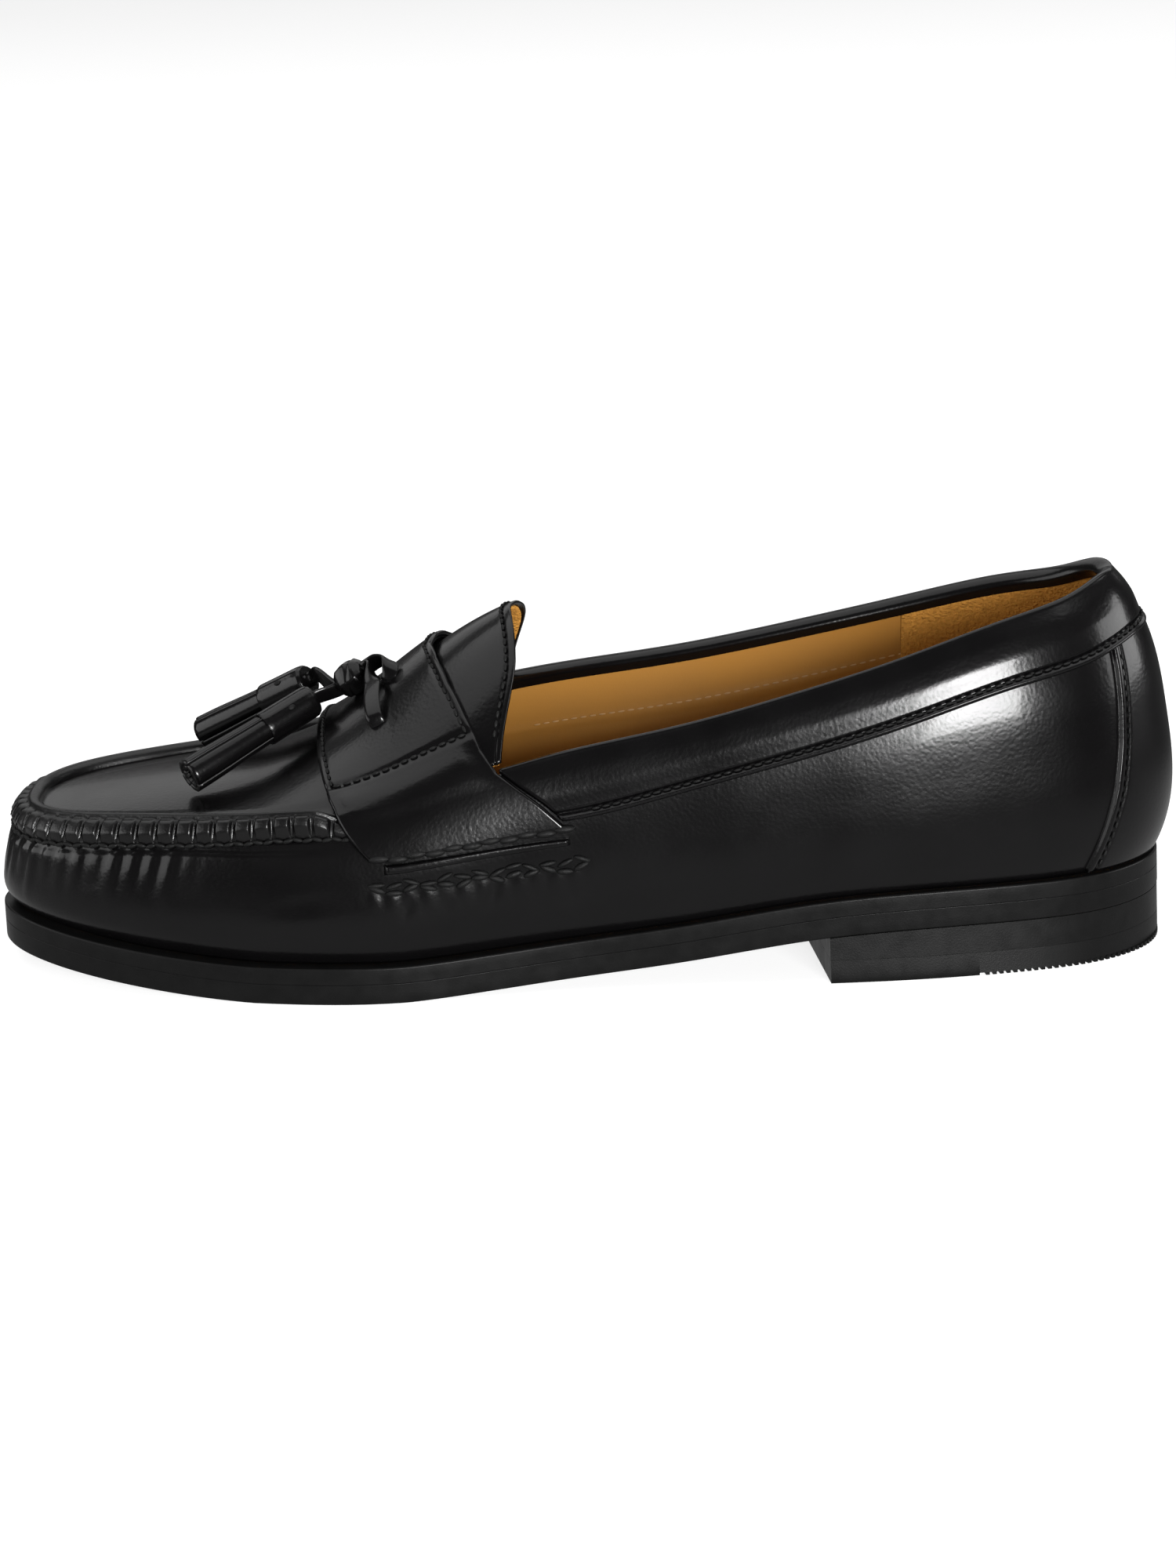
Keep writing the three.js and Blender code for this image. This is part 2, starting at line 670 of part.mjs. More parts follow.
// Tongue: laps under the plug beneath the strap, then carries on as its outer face to the rear edge.
function tongue() {
  const places = PLUG_SHARES.filter((w) => Math.abs(w) < 0.95);
  const throat = edgeX(pairStation(THROAT_PAIR));
  const tucked = -WALL - CLEAR * 3;
  const along = [TONGUE_LAP, 6, 1.5, -3, -8, -13, -18, -23, -28.2];
  const gridAt = (thickness) => along.map((distance, i) => places.map((w) => {
    const bow = i === along.length - 1 ? TONGUE_BOW * (Math.abs(w) * (1 - Math.abs(w)) * 4 - 1) : 0;
    const x = throat + distance - bow;
    const lap = mix(0, tucked, smoothstep(-5, -1, distance));
    return bodyOffset(stationAt(x), w, lap - thickness);
  }));
  return shellBetween(gridAt(0), gridAt(TONGUE_THICK));
}

// Places over the instep: share of the sole's length, the coordinate across, and the lift off the
// body. The knot and the tassels lie between two such places, and each lace follows a row of them.
const over = ({ along, across, lift }) => (
  bodyOffset(stationAt(HEEL_BACK + SOLE_LENGTH * along), across, lift)
);
const overStrap = CLEAR * 3 + STRAP_THICK;
const KNOT_ENDS = columns(['along', 'across', 'lift'], [
  [0.6830, -0.110, overStrap + KNOT_RADIUS],
  [0.6570, -0.085, overStrap + KNOT_RADIUS],
]).map(over);
const TASSEL_NEAR = columns(['along', 'across', 'lift'], [
  [0.7090, -0.053, 8.1],
  [0.8324, 0.543, CLEAR * 2 + TASSEL_RADIUS],
]).map(over);
const TASSEL_FAR = columns(['along', 'across', 'lift'], [
  [0.7096, -0.300, 11.6],
  [0.8358, -0.750, CLEAR * 2 + TASSEL_RADIUS],
]).map(over);

// A solid of loops round a straight axis, closed at both ends.
function loopsAlong([start, end], rows, sectionAt) {
  const solid = newSolid();
  const axis = unit(plus(end, start, -1));
  const side = unit(cross(axis, [0, 0, 1]));
  const up = cross(side, axis);
  const loops = rows.map((row) => addRow(solid, sectionAt(row).map(([radius, angle]) => (
    plus(
      plus(mix3(start, end, row.along), side, radius * Math.cos(angle)),
      up,
      radius * Math.sin(angle),
    )
  ))));
  loops.slice(1).forEach((loop, i) => stripBetween(solid, closeRow(loops[i]), closeRow(loop)));
  [[loops[0], start, true], [loops[loops.length - 1], end, false]].forEach(([loop, middle, flip]) => {
    const centre = addPoint(solid, middle);
    closeRow(loop).slice(1).forEach((next, i) => {
      solid.faces.push(flip ? [centre, loop[i], next] : [centre, next, loop[i]]);
    });
  });
  return solid;
}

// Tassel: a rolled cap, then strips fused side by side with a slit between each two.
const TASSEL_ROWS = columns(['along', 'radius', 'slit'], [
  [0.000, 0.84, 0],
  [0.015, 0.93, 0],
  [0.170, 0.97, 0],
  [0.335, 1.00, 0],
  [0.340, 0.88, 0],
  [0.360, 0.88, 1],
  [0.680, 0.94, 1],
  [1.000, 1.00, 1],
]);
const STRIP_SECTION = columns(['turn', 'deep'], [[-0.84, 0], [0.84, 0], [0.92, 1], [1.08, 1]]);

const tassel = (ends) => loopsAlong(ends, TASSEL_ROWS, ({ radius, slit }) => (
  Array.from({ length: TASSEL_STRIPS }, (_, strip) => STRIP_SECTION.map(({ turn, deep }) => [
    TASSEL_RADIUS * radius - TASSEL_SLIT * slit * deep,
    ((2 * strip + turn) * Math.PI) / TASSEL_STRIPS,
  ])).flat()
));

const KNOT_ROWS = columns(['along', 'radius'], [[0, 0.55], [0.2, 0.92], [0.5, 1], [0.8, 0.9], [1, 0.5]]);
const knot = () => loopsAlong(KNOT_ENDS, KNOT_ROWS, ({ radius }) => (
  Array.from({ length: 8 }, (_, i) => [KNOT_RADIUS * radius, (i * Math.PI) / 4])
));

// Flat lace along a route, with the way its width points at each end.
function lace(route, widthFrom, widthTo) {
  const curve = new THREE.CatmullRomCurve3(route.map((point) => new THREE.Vector3(...point)));
  const rows = Array.from({ length: LACE_STEPS + 1 }, (_, i) => {
    const t = i / LACE_STEPS;
    const tangent = curve.getTangent(t).toArray();
    const thick = unit(cross(tangent, mix3(widthFrom, widthTo, t)));
    return { point: curve.getPoint(t).toArray(), width: unit(cross(thick, tangent)), thick };
  });
  const gridAt = (distance) => rows.map(({ point, width, thick }) => [-0.5, 0, 0.5].map((share) => (
    plus(plus(point, width, share * LACE_WIDTH), thick, distance)
  )));
  return shellBetween(gridAt(LACE_THICK / 2), gridAt(-LACE_THICK / 2));
}

// Two points that lead a lace straight off the start of an axis, moved sideways by half a pair.
const LEAD = 1.6;
const leadOff = ([from, to], sideways = 0) => [CLEAR, CLEAR + LEAD].map((gap) => (
  plus(plus(from, unit(plus(from, to, -1)), gap), [0, 1, 0], sideways * LACE_THICK)
));
const midway = (points) => columns(['along', 'across', 'lift'], points).map(over);
const knotBack = KNOT_ENDS.slice().reverse();
const laceEndNear = () => lace(
  [...leadOff(KNOT_ENDS, 0.75), ...leadOff(TASSEL_NEAR).reverse()],
  [0, 0, 1],
  [0, 0, 1],
);
const laceEndFar = () => lace(
  [...leadOff(KNOT_ENDS, -0.75), ...midway([[0.697, -0.22, 11.8]]), ...leadOff(TASSEL_FAR).reverse()],
  [0, 0, 1],
  [0, 0, 1],
);
const laceLoopNear = () => lace(
  [...leadOff(knotBack, 1), ...midway([
    [0.6430, 0.120, 6.6], [0.6450, 0.300, 6.6], [0.6500, 0.420, 5.6], [0.6526, 0.490, 4.2],
  ])],
  [0.3, 0, 1],
  [1, 0, -0.6],
);
const laceLoopFar = () => lace(
  [...leadOff(knotBack, -1), ...midway([
    [0.6350, -0.210, 8.0], [0.6280, -0.140, 7.4], [0.6330, -0.070, 6.0], [0.6400, -0.020, 5.4],
  ])],
  [0, 0, 1],
  [0.6, 0, 1],
);

const LEATHER = { color: 0x0b0b0c, roughness: 0.22, metalness: 0 };
const EDGE = { color: 0x101010, roughness: 0.45, metalness: 0 };
const LINING = { color: 0x8a5a2b, roughness: 0.7, metalness: 0 };
const RUBBER = { color: 0x151515, roughness: 0.8, metalness: 0 };

const loafer = new THREE.Group();
loafer.add(
  toMesh('outsole', outsole(), EDGE),
  toMesh('welt', weltRing(), EDGE),
  toMesh('heel_stack', heelStack(), EDGE),
  toMesh('top_lift_front', topLift(SPLIT, BREAST, 8), EDGE),
  toMesh('top_lift_rear', topLift(HEEL_END, SPLIT_BACK, 12), RUBBER),
  toMesh('insole', insole(), LINING),
  toMesh('upper', upper(), LEATHER),
  toMesh('collar_band', collarBand(), LEATHER),
  toMesh('heel_counter', heelCounter(), LEATHER),
  toMesh('saddle_strap', saddleStrap(), LEATHER),
  toMesh('tongue', tongue(), LEATHER),
  toMesh('tassel_near', tassel(TASSEL_NEAR), LEATHER),
  toMesh('tassel_far', tassel(TASSEL_FAR), LEATHER),
  toMesh('lace_knot', knot(), LEATHER),
  toMesh('lace_end_near', laceEndNear(), LEATHER),
  toMesh('lace_end_far', laceEndFar(), LEATHER),
  toMesh('lace_loop_near', laceLoopNear(), LEATHER),
  toMesh('lace_loop_far', laceLoopFar(), LEATHER),
);

export default loafer;
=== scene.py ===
"""A left tassel loafer in polished black leather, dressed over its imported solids.

Every leather piece is a fine grid laid on the shoe's own form: a station runs along the shoe, 0 at
the heel back and 15 at the toe, and the tables below give the sole's edge, the rim and the swell of
the walls at each station. Lengths in the tables and functions are in millimetres.
"""

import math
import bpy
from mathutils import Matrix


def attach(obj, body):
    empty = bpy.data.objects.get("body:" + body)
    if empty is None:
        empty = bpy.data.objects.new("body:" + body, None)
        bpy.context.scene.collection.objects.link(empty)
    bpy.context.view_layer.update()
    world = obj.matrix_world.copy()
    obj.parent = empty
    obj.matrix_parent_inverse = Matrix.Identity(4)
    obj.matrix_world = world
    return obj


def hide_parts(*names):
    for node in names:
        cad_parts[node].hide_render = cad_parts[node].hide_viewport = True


bl_info = {
    "name": "Tassel loafer",
    "version": (1, 0, 0),
    "blender": (4, 5, 0),
    "location": "3D Viewport > Sidebar > Loafer",
    "description": "Builds the leather, stitching, sole and tassels of a loafer over its solids",
    "category": "Object",
}

import bmesh
import bpy
import numpy as np
from mathutils import Matrix, Vector

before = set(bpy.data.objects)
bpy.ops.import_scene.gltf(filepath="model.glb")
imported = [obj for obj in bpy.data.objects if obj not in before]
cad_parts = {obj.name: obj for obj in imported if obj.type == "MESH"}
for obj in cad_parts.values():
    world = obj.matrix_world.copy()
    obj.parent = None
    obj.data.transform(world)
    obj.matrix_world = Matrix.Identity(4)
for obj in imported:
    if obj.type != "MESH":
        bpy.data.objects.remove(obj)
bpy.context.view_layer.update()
MM = 0.001
MERGE = 2e-6

SOLE_LENGTH = 300.0
BALL_WIDTH = 102.0
HEEL_BACK = -39.0
HEEL_HEIGHT = 13.2
TOE_SPRING = 6.8
OUTSOLE_THICK = 5.3
WELT_THICK = 4.3
BACK_HEIGHT = 73.0
SEAM_HEIGHT = 35.0
INSTEP_RISE = 60.0
FEATHER_INSET = 4.0
WALL_LEAN = 10.0
WALL_BULGE = 10.0
CLEAR = 0.3
COLLAR_DEPTH = 15.0
COLLAR_THICK = 1.3
TOE = 15
RING = 2 * TOE
STEP = 0.02
ACROSS_STEP = 0.03

# along, lateral, medial, heel, spring, inset
SOLE_ROWS = np.array([
    (0.000, 0.000, 0.000, 1.00, 0, 0.50),
    (0.015, 0.147, -0.147, 1.00, 0, 0.50),
    (0.060, 0.270, -0.270, 1.00, 0, 0.50),
    (0.130, 0.334, -0.324, 1.00, 0, 0.50),
    (0.213, 0.368, -0.316, 0.98, 0, 0.52),
    (0.303, 0.377, -0.297, 0.84, 0, 0.58),
    (0.403, 0.374, -0.314, 0.51, 0, 0.66),
    (0.497, 0.371, -0.377, 0.25, 0, 0.78),
    (0.587, 0.403, -0.471, 0.07, 0, 0.90),
    (0.670, 0.435, -0.544, -0.02, 0, 0.96),
    (0.753, 0.407, -0.559, 0, -0.03, 1.00),
    (0.830, 0.346, -0.515, 0, 0.15, 1.00),
    (0.900, 0.267, -0.431, 0, 0.46, 1.00),
    (0.955, 0.167, -0.328, 0, 0.75, 1.00),
    (0.990, 0.049, -0.206, 0, 0.94, 1.00),
    (1.0017, -0.078, -0.078, 0, 1.00, 1.00),
])
# collar, seam and lean on the lateral side, then on the medial side
RIM_ROWS = np.array([
    (1.010, 0, 0.94, 1.010, 0, 0.94),
    (1.013, 0, 0.92, 1.008, 0, 0.92),
    (0.973, 0, 0.80, 0.950, 0, 0.80),
    (0.915, 0, 0.55, 0.899, 0, 0.55),
    (0.816, 0, 0.50, 0.830, 0, 0.22),
    (0.738, 0, 0.37, 0.782, 0, 0.03),
    (0.696, 0, 0.22, 0.764, 0, 0.05),
    (0.666, 0, 0.14, 0.748, 0, 0.31),
    (0.350, 0.517, 0.23, 0.400, 0.583, 0.61),
    (0.060, 0.950, 0.42, 0.100, 0.980, 0.76),
    (0, 1.017, 0.40, 0, 1.051, 0.75),
    (0, 0.974, 0.36, 0, 0.977, 0.70),
    (0, 0.886, 0.27, 0, 0.894, 0.55),
    (0, 0.794, 0.27, 0, 0.811, 0.38),
    (0, 0.749, 0.50, 0, 0.760, 0.54),
    (0, 0.746, 0.68, 0, 0.746, 0.68),
])
# bulge lateral, bulge medial, squareness, arch, rim panel
FORM_ROWS = np.array([
    (0.84, 0.84, 3.0, 0.00, 0.90),
    (0.83, 0.83, 3.0, 0.00, 0.95),
    (0.76, 0.76, 3.0, 0.00, 1.00),
    (0.66, 0.66, 2.9, 0.20, 1.00),
    (0.58, 0.56, 2.8, 0.50, 1.00),
    (0.50, 0.46, 2.7, 0.90, 1.00),
    (0.45, 0.42, 2.6, 1.20, 1.00),
    (0.45, 0.42, 2.6, 1.26, 1.05),
    (0.45, 0.45, 2.6, 0.85, 0.80),
    (0.42, 0.45, 2.6, 0.45, 0.42),
    (0.42, 0.45, 2.7, 0.217, 0.33),
    (0.45, 0.48, 3.0, 0.124, 0.33),
    (0.55, 0.55, 3.6, 0.107, 0.33),
    (0.58, 0.58, 4.0, 0.11, 0.33),
    (0.57, 0.57, 4.1, 0.11, 0.33),
    (0.56, 0.56, 4.1, 0.11, 0.33),
])


def closed_spline(values):
    """A smooth closed curve through evenly numbered values."""
    count = len(values)
    turn = np.eye(count)
    weights_of_three = (4 * turn + np.roll(turn, 1, 0) + np.roll(turn, -1, 0)) / 6
    controls = np.linalg.solve(weights_of_three, values)

    def at(u):
        i = np.floor(u).astype(int)
        t = u - i
        weights = ((1 - t) ** 3, 3 * t**3 - 6 * t**2 + 4, -3 * t**3 + 3 * t**2 + 3 * t + 1, t**3)
        return sum(w * controls[(i + k - 1) % count] for k, w in enumerate(weights)) / 6

    return at


def around(rows, lateral, medial):
    """Two columns as one curve round the shoe: out on the lateral side, back on the medial."""
    return closed_spline(np.concatenate((rows[:, lateral], rows[-2:0:-1, medial])))


along_share = around(SOLE_ROWS, 0, 0)
side_share = around(SOLE_ROWS, 1, 2)
heel_share = around(SOLE_ROWS, 3, 3)
spring_share = around(SOLE_ROWS, 4, 4)
inset_share = around(SOLE_ROWS, 5, 5)
collar_share = around(RIM_ROWS, 0, 3)
seam_share = around(RIM_ROWS, 1, 4)
lean_share = around(RIM_ROWS, 2, 5)
bulge_share = around(FORM_ROWS, 0, 1)
squareness = around(FORM_ROWS, 2, 2)
arch_share = around(FORM_ROWS, 3, 3)
panel_share = around(FORM_ROWS, 4, 4)


def edge(u):
    """The sole's edge in plan."""
    return np.stack((HEEL_BACK + SOLE_LENGTH * along_share(u), BALL_WIDTH * side_share(u)), -1)


def outward(u):
    """The way out of the sole's edge, flat."""
    run = edge(u + STEP) - edge(u - STEP)
    way = np.stack((-run[..., 1], run[..., 0], 0 * u), -1)
    return way / np.linalg.norm(way, axis=-1, keepdims=True)


def underside(u):
    """Height of the sole's ground face: the heel's lift behind and the spring at the toe."""
    return np.maximum(0, HEEL_HEIGHT * heel_share(u) + TOE_SPRING * spring_share(u))


def sole_top(u):
    """Height of the welt's upper face."""
    return underside(u) + OUTSOLE_THICK + WELT_THICK


def edge_point(u, inset, height):
    """A point in from the sole's edge at a height."""
    plan = edge(u)
    point = np.stack((plan[..., 0], plan[..., 1], height + 0 * u), -1)
    return point - outward(u) * np.asarray(inset)[..., None]


def rim_height(u):
    """Height of the upper's rim over the sole: the topline behind, the toe seam in front."""
    return (BACK_HEIGHT - COLLAR_THICK - CLEAR) * collar_share(u) + SEAM_HEIGHT * seam_share(u)


def panel_foot(u):
    """Share of the wall's height at which the collar, or the toe seam, begins."""
    return 1 - COLLAR_DEPTH * panel_share(u) / rim_height(u)


def wall_point(u, v):
    """The upper's outer face: v goes from the foot, 0, to the rim, 1, and u once round to 30."""
    foot = edge_point(u, FEATHER_INSET * inset_share(u), sole_top(u) + CLEAR)
    swell = 1 - np.abs(2 * v - 1) ** squareness(u)
    out = WALL_BULGE * bulge_share(u) * swell - WALL_LEAN * lean_share(u) * v
    point = foot + outward(u) * out[..., None]
    point[..., 2] += rim_height(u) * v
    return point


def plug_point(k, w):
    """The crowned face between the two rims: w from -1, medial, to 1, lateral."""
    lateral = wall_point(k, 1 + 0 * k)
    medial = wall_point(RING - k, 1 + 0 * k)
    span = np.linalg.norm((lateral - medial)[..., :2], axis=-1)
    rise = INSTEP_RISE * arch_share(k) * (span / BALL_WIDTH) ** 2
    point = medial + (lateral - medial) * ((1 + w) / 2)[..., None]
    point[..., 2] += rise * (1 - w * w)
    return point


def body_point(k, g):
    """Across the shoe: g from -1 to 1 over the top, and on to 2 or -2 down the two walls."""
    k, g = np.broadcast_arrays(np.asarray(k, float), np.asarray(g, float))
    top = plug_point(k, np.clip(g, -1, 1))
    side = wall_point(np.where(g > 0, k, RING - k), np.clip(2 - np.abs(g), 0, 1.2))
    return np.where((np.abs(g) > 1)[..., None], side, top)


def unit(p):
    """The same way, one long."""
    return p / np.linalg.norm(p, axis=-1, keepdims=True)


def body_normal(k, g):
    """The way out of the whole shoe's face."""
    k, g = np.asarray(k, float), np.asarray(g, float)
    along = body_point(k + STEP, g) - body_point(k - STEP, g)
    across = body_point(k, g + ACROSS_STEP) - body_point(k, g - ACROSS_STEP)
    return unit(np.cross(along, across))


def wall_normal(u, v):
    """The way out of the wall's face."""
    along = wall_point(u + STEP, v) - wall_point(u - STEP, v)
    up = wall_point(u, v + STEP) - wall_point(u, v - STEP)
    return unit(np.cross(up, along))


def on_body(k, g, lift):
    """A point lifted off the whole shoe's face."""
    return body_point(k, g) + body_normal(k, g) * np.asarray(lift)[..., None]


def on_wall(u, v, lift):
    """A point lifted off the wall's face."""
    return wall_point(u, v) + wall_normal(u, v) * np.asarray(lift)[..., None]


STATIONS = np.linspace(0, TOE, 3001)
STATION_X = HEEL_BACK + SOLE_LENGTH * along_share(STATIONS)


def station_at(x):
    """The station at a place along the shoe."""
    return np.interp(x, STATION_X, STATIONS)


def smooth(low, high, value):
    """0 below low and 1 above high, with a soft step between."""
    t = np.clip((value - low) / (high - low), 0, 1)
    return t * t * (3 - 2 * t)


def trough(distance, width):
    """1 on a line, falling softly to 0 at the width."""
    return 1 - smooth(0, width, np.abs(distance))


def run_of(points):
    """Length along a line of points, at each point."""
    return np.concatenate(([0], np.cumsum(np.linalg.norm(np.diff(points, axis=0), axis=1))))


# Length along the sole's edge at each place round the shoe
ROUND = np.linspace(0, RING, 3001)
ROUND_LENGTH = run_of(edge(ROUND))


def along_edge(u):
    """Length along the sole's edge from the heel back."""
    return np.interp(u, ROUND, ROUND_LENGTH)


def evenly(start, end, share):
    """Places from start to end that are evenly spaced along the sole's edge."""
    return np.interp(
        along_edge(start) + (along_edge(end) - along_edge(start)) * share, ROUND_LENGTH, ROUND
    )


# ---- pieces from grids ----


def core_of(point):
    """The middle of the shoe at a point's station, to tell inside from outside."""
    return Vector((point[0], -0.004, 0.028))


def add_piece(name, bm, materials, replaces=(), smooth_faces=True):
    """The bmesh becomes an object at the origin that rides on the shoe."""
    mesh = bpy.data.meshes.new(name)
    bm.to_mesh(mesh)
    bm.free()
    for material in materials:
        mesh.materials.append(material)
    if smooth_faces:
        for face in mesh.polygons:
            face.use_smooth = True
    piece = bpy.data.objects.new(name, mesh)
    bpy.context.scene.collection.objects.link(piece)
    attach(piece, "root")
    if replaces:
        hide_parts(*replaces)
    return piece


def axes_at(x, y, z, place):
    """A matrix that turns to the three axes and moves to the place."""
    made = Matrix(((*x, 0), (*y, 0), (*z, 0), (0, 0, 0, 1))).transposed()
    made.translation = Vector(place)
    return made


def finish_piece(name, bm, materials, replaces=(), smooth_faces=True, shells=True):
    """A piece whose faces look outward. An open sheet is a shell: it is turned as a whole."""
    bmesh.ops.remove_doubles(bm, verts=bm.verts, dist=MERGE)
    if shells:
        lean = sum((f.calc_center_median() - core_of(f.calc_center_median())).dot(f.normal)
                   * f.calc_area() for f in bm.faces)
        if lean < 0:
            bmesh.ops.reverse_faces(bm, faces=bm.faces)
    else:
        bmesh.ops.recalc_face_normals(bm, faces=bm.faces)
    return add_piece(name, bm, materials, replaces, smooth_faces)


def shaped_grid(shape, along, across):
    """A grid whose points go to shape(s, t), s and t from 0 to 1."""
    bm = bmesh.new()
    add_grid(bm, shape, along, across)
    return bm


def add_grid(bm, shape, along, across):
    """Add a grid whose points go to shape(s, t), and give its points."""
    made = bmesh.ops.create_grid(bm, x_segments=along, y_segments=across, size=0.5)["verts"]
    flat = np.array([vert.co[:2] for vert in made]) + 0.5
    for vert, point in zip(made, shape(flat[:, 0], flat[:, 1]) * MM):
        vert.co = point
    return made


def leather_sheet(name, shape, along, across, thick, materials, inside=0, **options):
    """A sheet of leather whose outer face is the shaped grid."""
    piece = finish_piece(name, shaped_grid(shape, along, across), materials, **options)
    return thicken(piece, thick, inside)


def thicken(piece, thick, inside=0, rim=0):
    """A wall behind the piece's face; inside and rim count on from the face's material."""
    wall = piece.modifiers.new("thickness", "SOLIDIFY")
    wall.thickness = thick * MM
    wall.offset = -1
    wall.use_even_offset = False
    wall.material_offset = inside
    wall.material_offset_rim = rim
    return piece


EDGE_ROLL = 0.6


def edge_roll(distance, thick):
    """How far the outer face drops towards a cut edge."""
    return thick * 0.4 * (1 - smooth(0, EDGE_ROLL, distance)) ** 2


# ---- materials ----


def new_material(name):
    """A material with one Principled shader."""
    material = bpy.data.materials.new(name)
    material.use_nodes = True
    tree = material.node_tree
    tree.nodes.clear()
    output = tree.nodes.new("ShaderNodeOutputMaterial")
    shader = tree.nodes.new("ShaderNodeBsdfPrincipled")
    tree.links.new(shader.outputs["BSDF"], output.inputs["Surface"])
    return material, tree, shader


def add_node(tree, kind, inputs=(), **settings):
    """A node with its settings, and its inputs set to values or linked to sockets."""
    made = tree.nodes.new(kind)
    for name, value in settings.items():
        setattr(made, name, value)
    for name, value in dict(inputs).items():
        if isinstance(value, bpy.types.NodeSocket):
            tree.links.new(value, made.inputs[name])
        else:
            made.inputs[name].default_value = value
    return made


def new_group(name, inputs, outputs):
    """A shader node group with its named sockets."""
    group = bpy.data.node_groups.new(name, "ShaderNodeTree")
    for label, kind, value in inputs:
        socket = group.interface.new_socket(label, in_out="INPUT", socket_type=kind)
        socket.default_value = value
    for label, kind in outputs:
        group.interface.new_socket(label, in_out="OUTPUT", socket_type=kind)
    return group, add_node(group, "NodeGroupInput"), add_node(group, "NodeGroupOutput")


def grain_group():
    """Fine pebbled leather grain: its height, and a soft cloud for gloss and colour."""
    group, start, end = new_group(
        "leather_grain",
        [("Scale", "NodeSocketFloat", 1500.0), ("Cloud Scale", "NodeSocketFloat", 60.0)],
        [("Height", "NodeSocketFloat"), ("Cloud", "NodeSocketFloat")],
    )
    place = add_node(group, "ShaderNodeTexCoord")
    cells = add_node(
        group, "ShaderNodeTexVoronoi",
        {"Vector": place.outputs["Object"], "Scale": start.outputs["Scale"]},
        feature="SMOOTH_F1",
    )
    fine = add_node(
        group, "ShaderNodeTexNoise",
        {"Vector": place.outputs["Object"], "Scale": start.outputs["Scale"], "Detail": 3.0},
    )
    cloud = add_node(
        group, "ShaderNodeTexNoise",
        {"Vector": place.outputs["Object"], "Scale": start.outputs["Cloud Scale"], "Detail": 3.0},
    )
    height = add_node(
        group, "ShaderNodeMath", {0: cells.outputs["Distance"], 1: fine.outputs["Fac"]},
        operation="ADD",
    )
    group.links.new(height.outputs[0], end.inputs["Height"])
    group.links.new(cloud.outputs["Fac"], end.inputs["Cloud"])
    return group


def ranged(tree, value, low, high):
    """A 0.3 to 0.7 mask as a value from low to high."""
    made = add_node(
        tree, "ShaderNodeMapRange",
        {"Value": value, "From Min": 0.3, "From Max": 0.7, "To Min": low, "To Max": high},
    )
    return made.outputs["Result"]


def mix_colours(tree, mask, first, second):
    """A colour that goes from the first to the second as the mask goes from 0 to 1."""
    made = tree.nodes.new("ShaderNodeMix")
    made.data_type = "RGBA"
    tree.links.new(mask, made.inputs[0])
    made.inputs[6].default_value = (*first, 1.0)
    made.inputs[7].default_value = (*second, 1.0)
    return made.outputs[2]


def grained(name, group, colours, roughness, grain, strength, coat=0.0, coat_rough=0.1,
            cloud=60.0, depth=0.00012, specular=0.5):
    """A leather-like finish: two close colours, a gloss range, and grain of one size in metres."""
    material, tree, shader = new_material(name)
    source = tree.nodes.new("ShaderNodeGroup")
    source.node_tree = group
    source.inputs["Scale"].default_value = 1 / grain
    source.inputs["Cloud Scale"].default_value = cloud
    tree.links.new(
        mix_colours(tree, source.outputs["Cloud"], *colours), shader.inputs["Base Color"]
    )
    tree.links.new(ranged(tree, source.outputs["Cloud"], *roughness), shader.inputs["Roughness"])
    bump = add_node(
        tree, "ShaderNodeBump",
        {"Height": source.outputs["Height"], "Strength": strength, "Distance": depth},
    )
    tree.links.new(bump.outputs["Normal"], shader.inputs["Normal"])
    shader.inputs["Coat Weight"].default_value = coat
    shader.inputs["Coat Roughness"].default_value = coat_rough
    shader.inputs["Specular IOR Level"].default_value = specular
    return material


class LoaferColours(bpy.types.PropertyGroup):
    """Colours of the loafer's finishes."""

    leather: bpy.props.FloatVectorProperty(
        name="Leather", description="Polished upper leather", subtype="COLOR", size=3,
        min=0, max=1, default=(0.0014, 0.0013, 0.0014),
    )
    sole_edge: bpy.props.FloatVectorProperty(
        name="Sole edge", description="Dressed edge of the sole and heel", subtype="COLOR", size=3,
        min=0, max=1, default=(0.003, 0.003, 0.003),
    )
    lining: bpy.props.FloatVectorProperty(
        name="Lining", description="Smooth lining leather", subtype="COLOR", size=3,
        min=0, max=1, default=(0.38, 0.177, 0.03),
    )
    suede: bpy.props.FloatVectorProperty(
        name="Suede", description="Heel grip and tongue lining", subtype="COLOR", size=3,
        min=0, max=1, default=(0.66, 0.31, 0.06),
    )
    thread: bpy.props.FloatVectorProperty(
        name="Thread", description="Waxed thread of the upper", subtype="COLOR", size=3,
        min=0, max=1, default=(0.0015, 0.0015, 0.0015),
    )
    lining_thread: bpy.props.FloatVectorProperty(
        name="Lining thread", description="Thread of the lining's seam", subtype="COLOR", size=3,
        min=0, max=1, default=(0.5, 0.3, 0.12),
    )


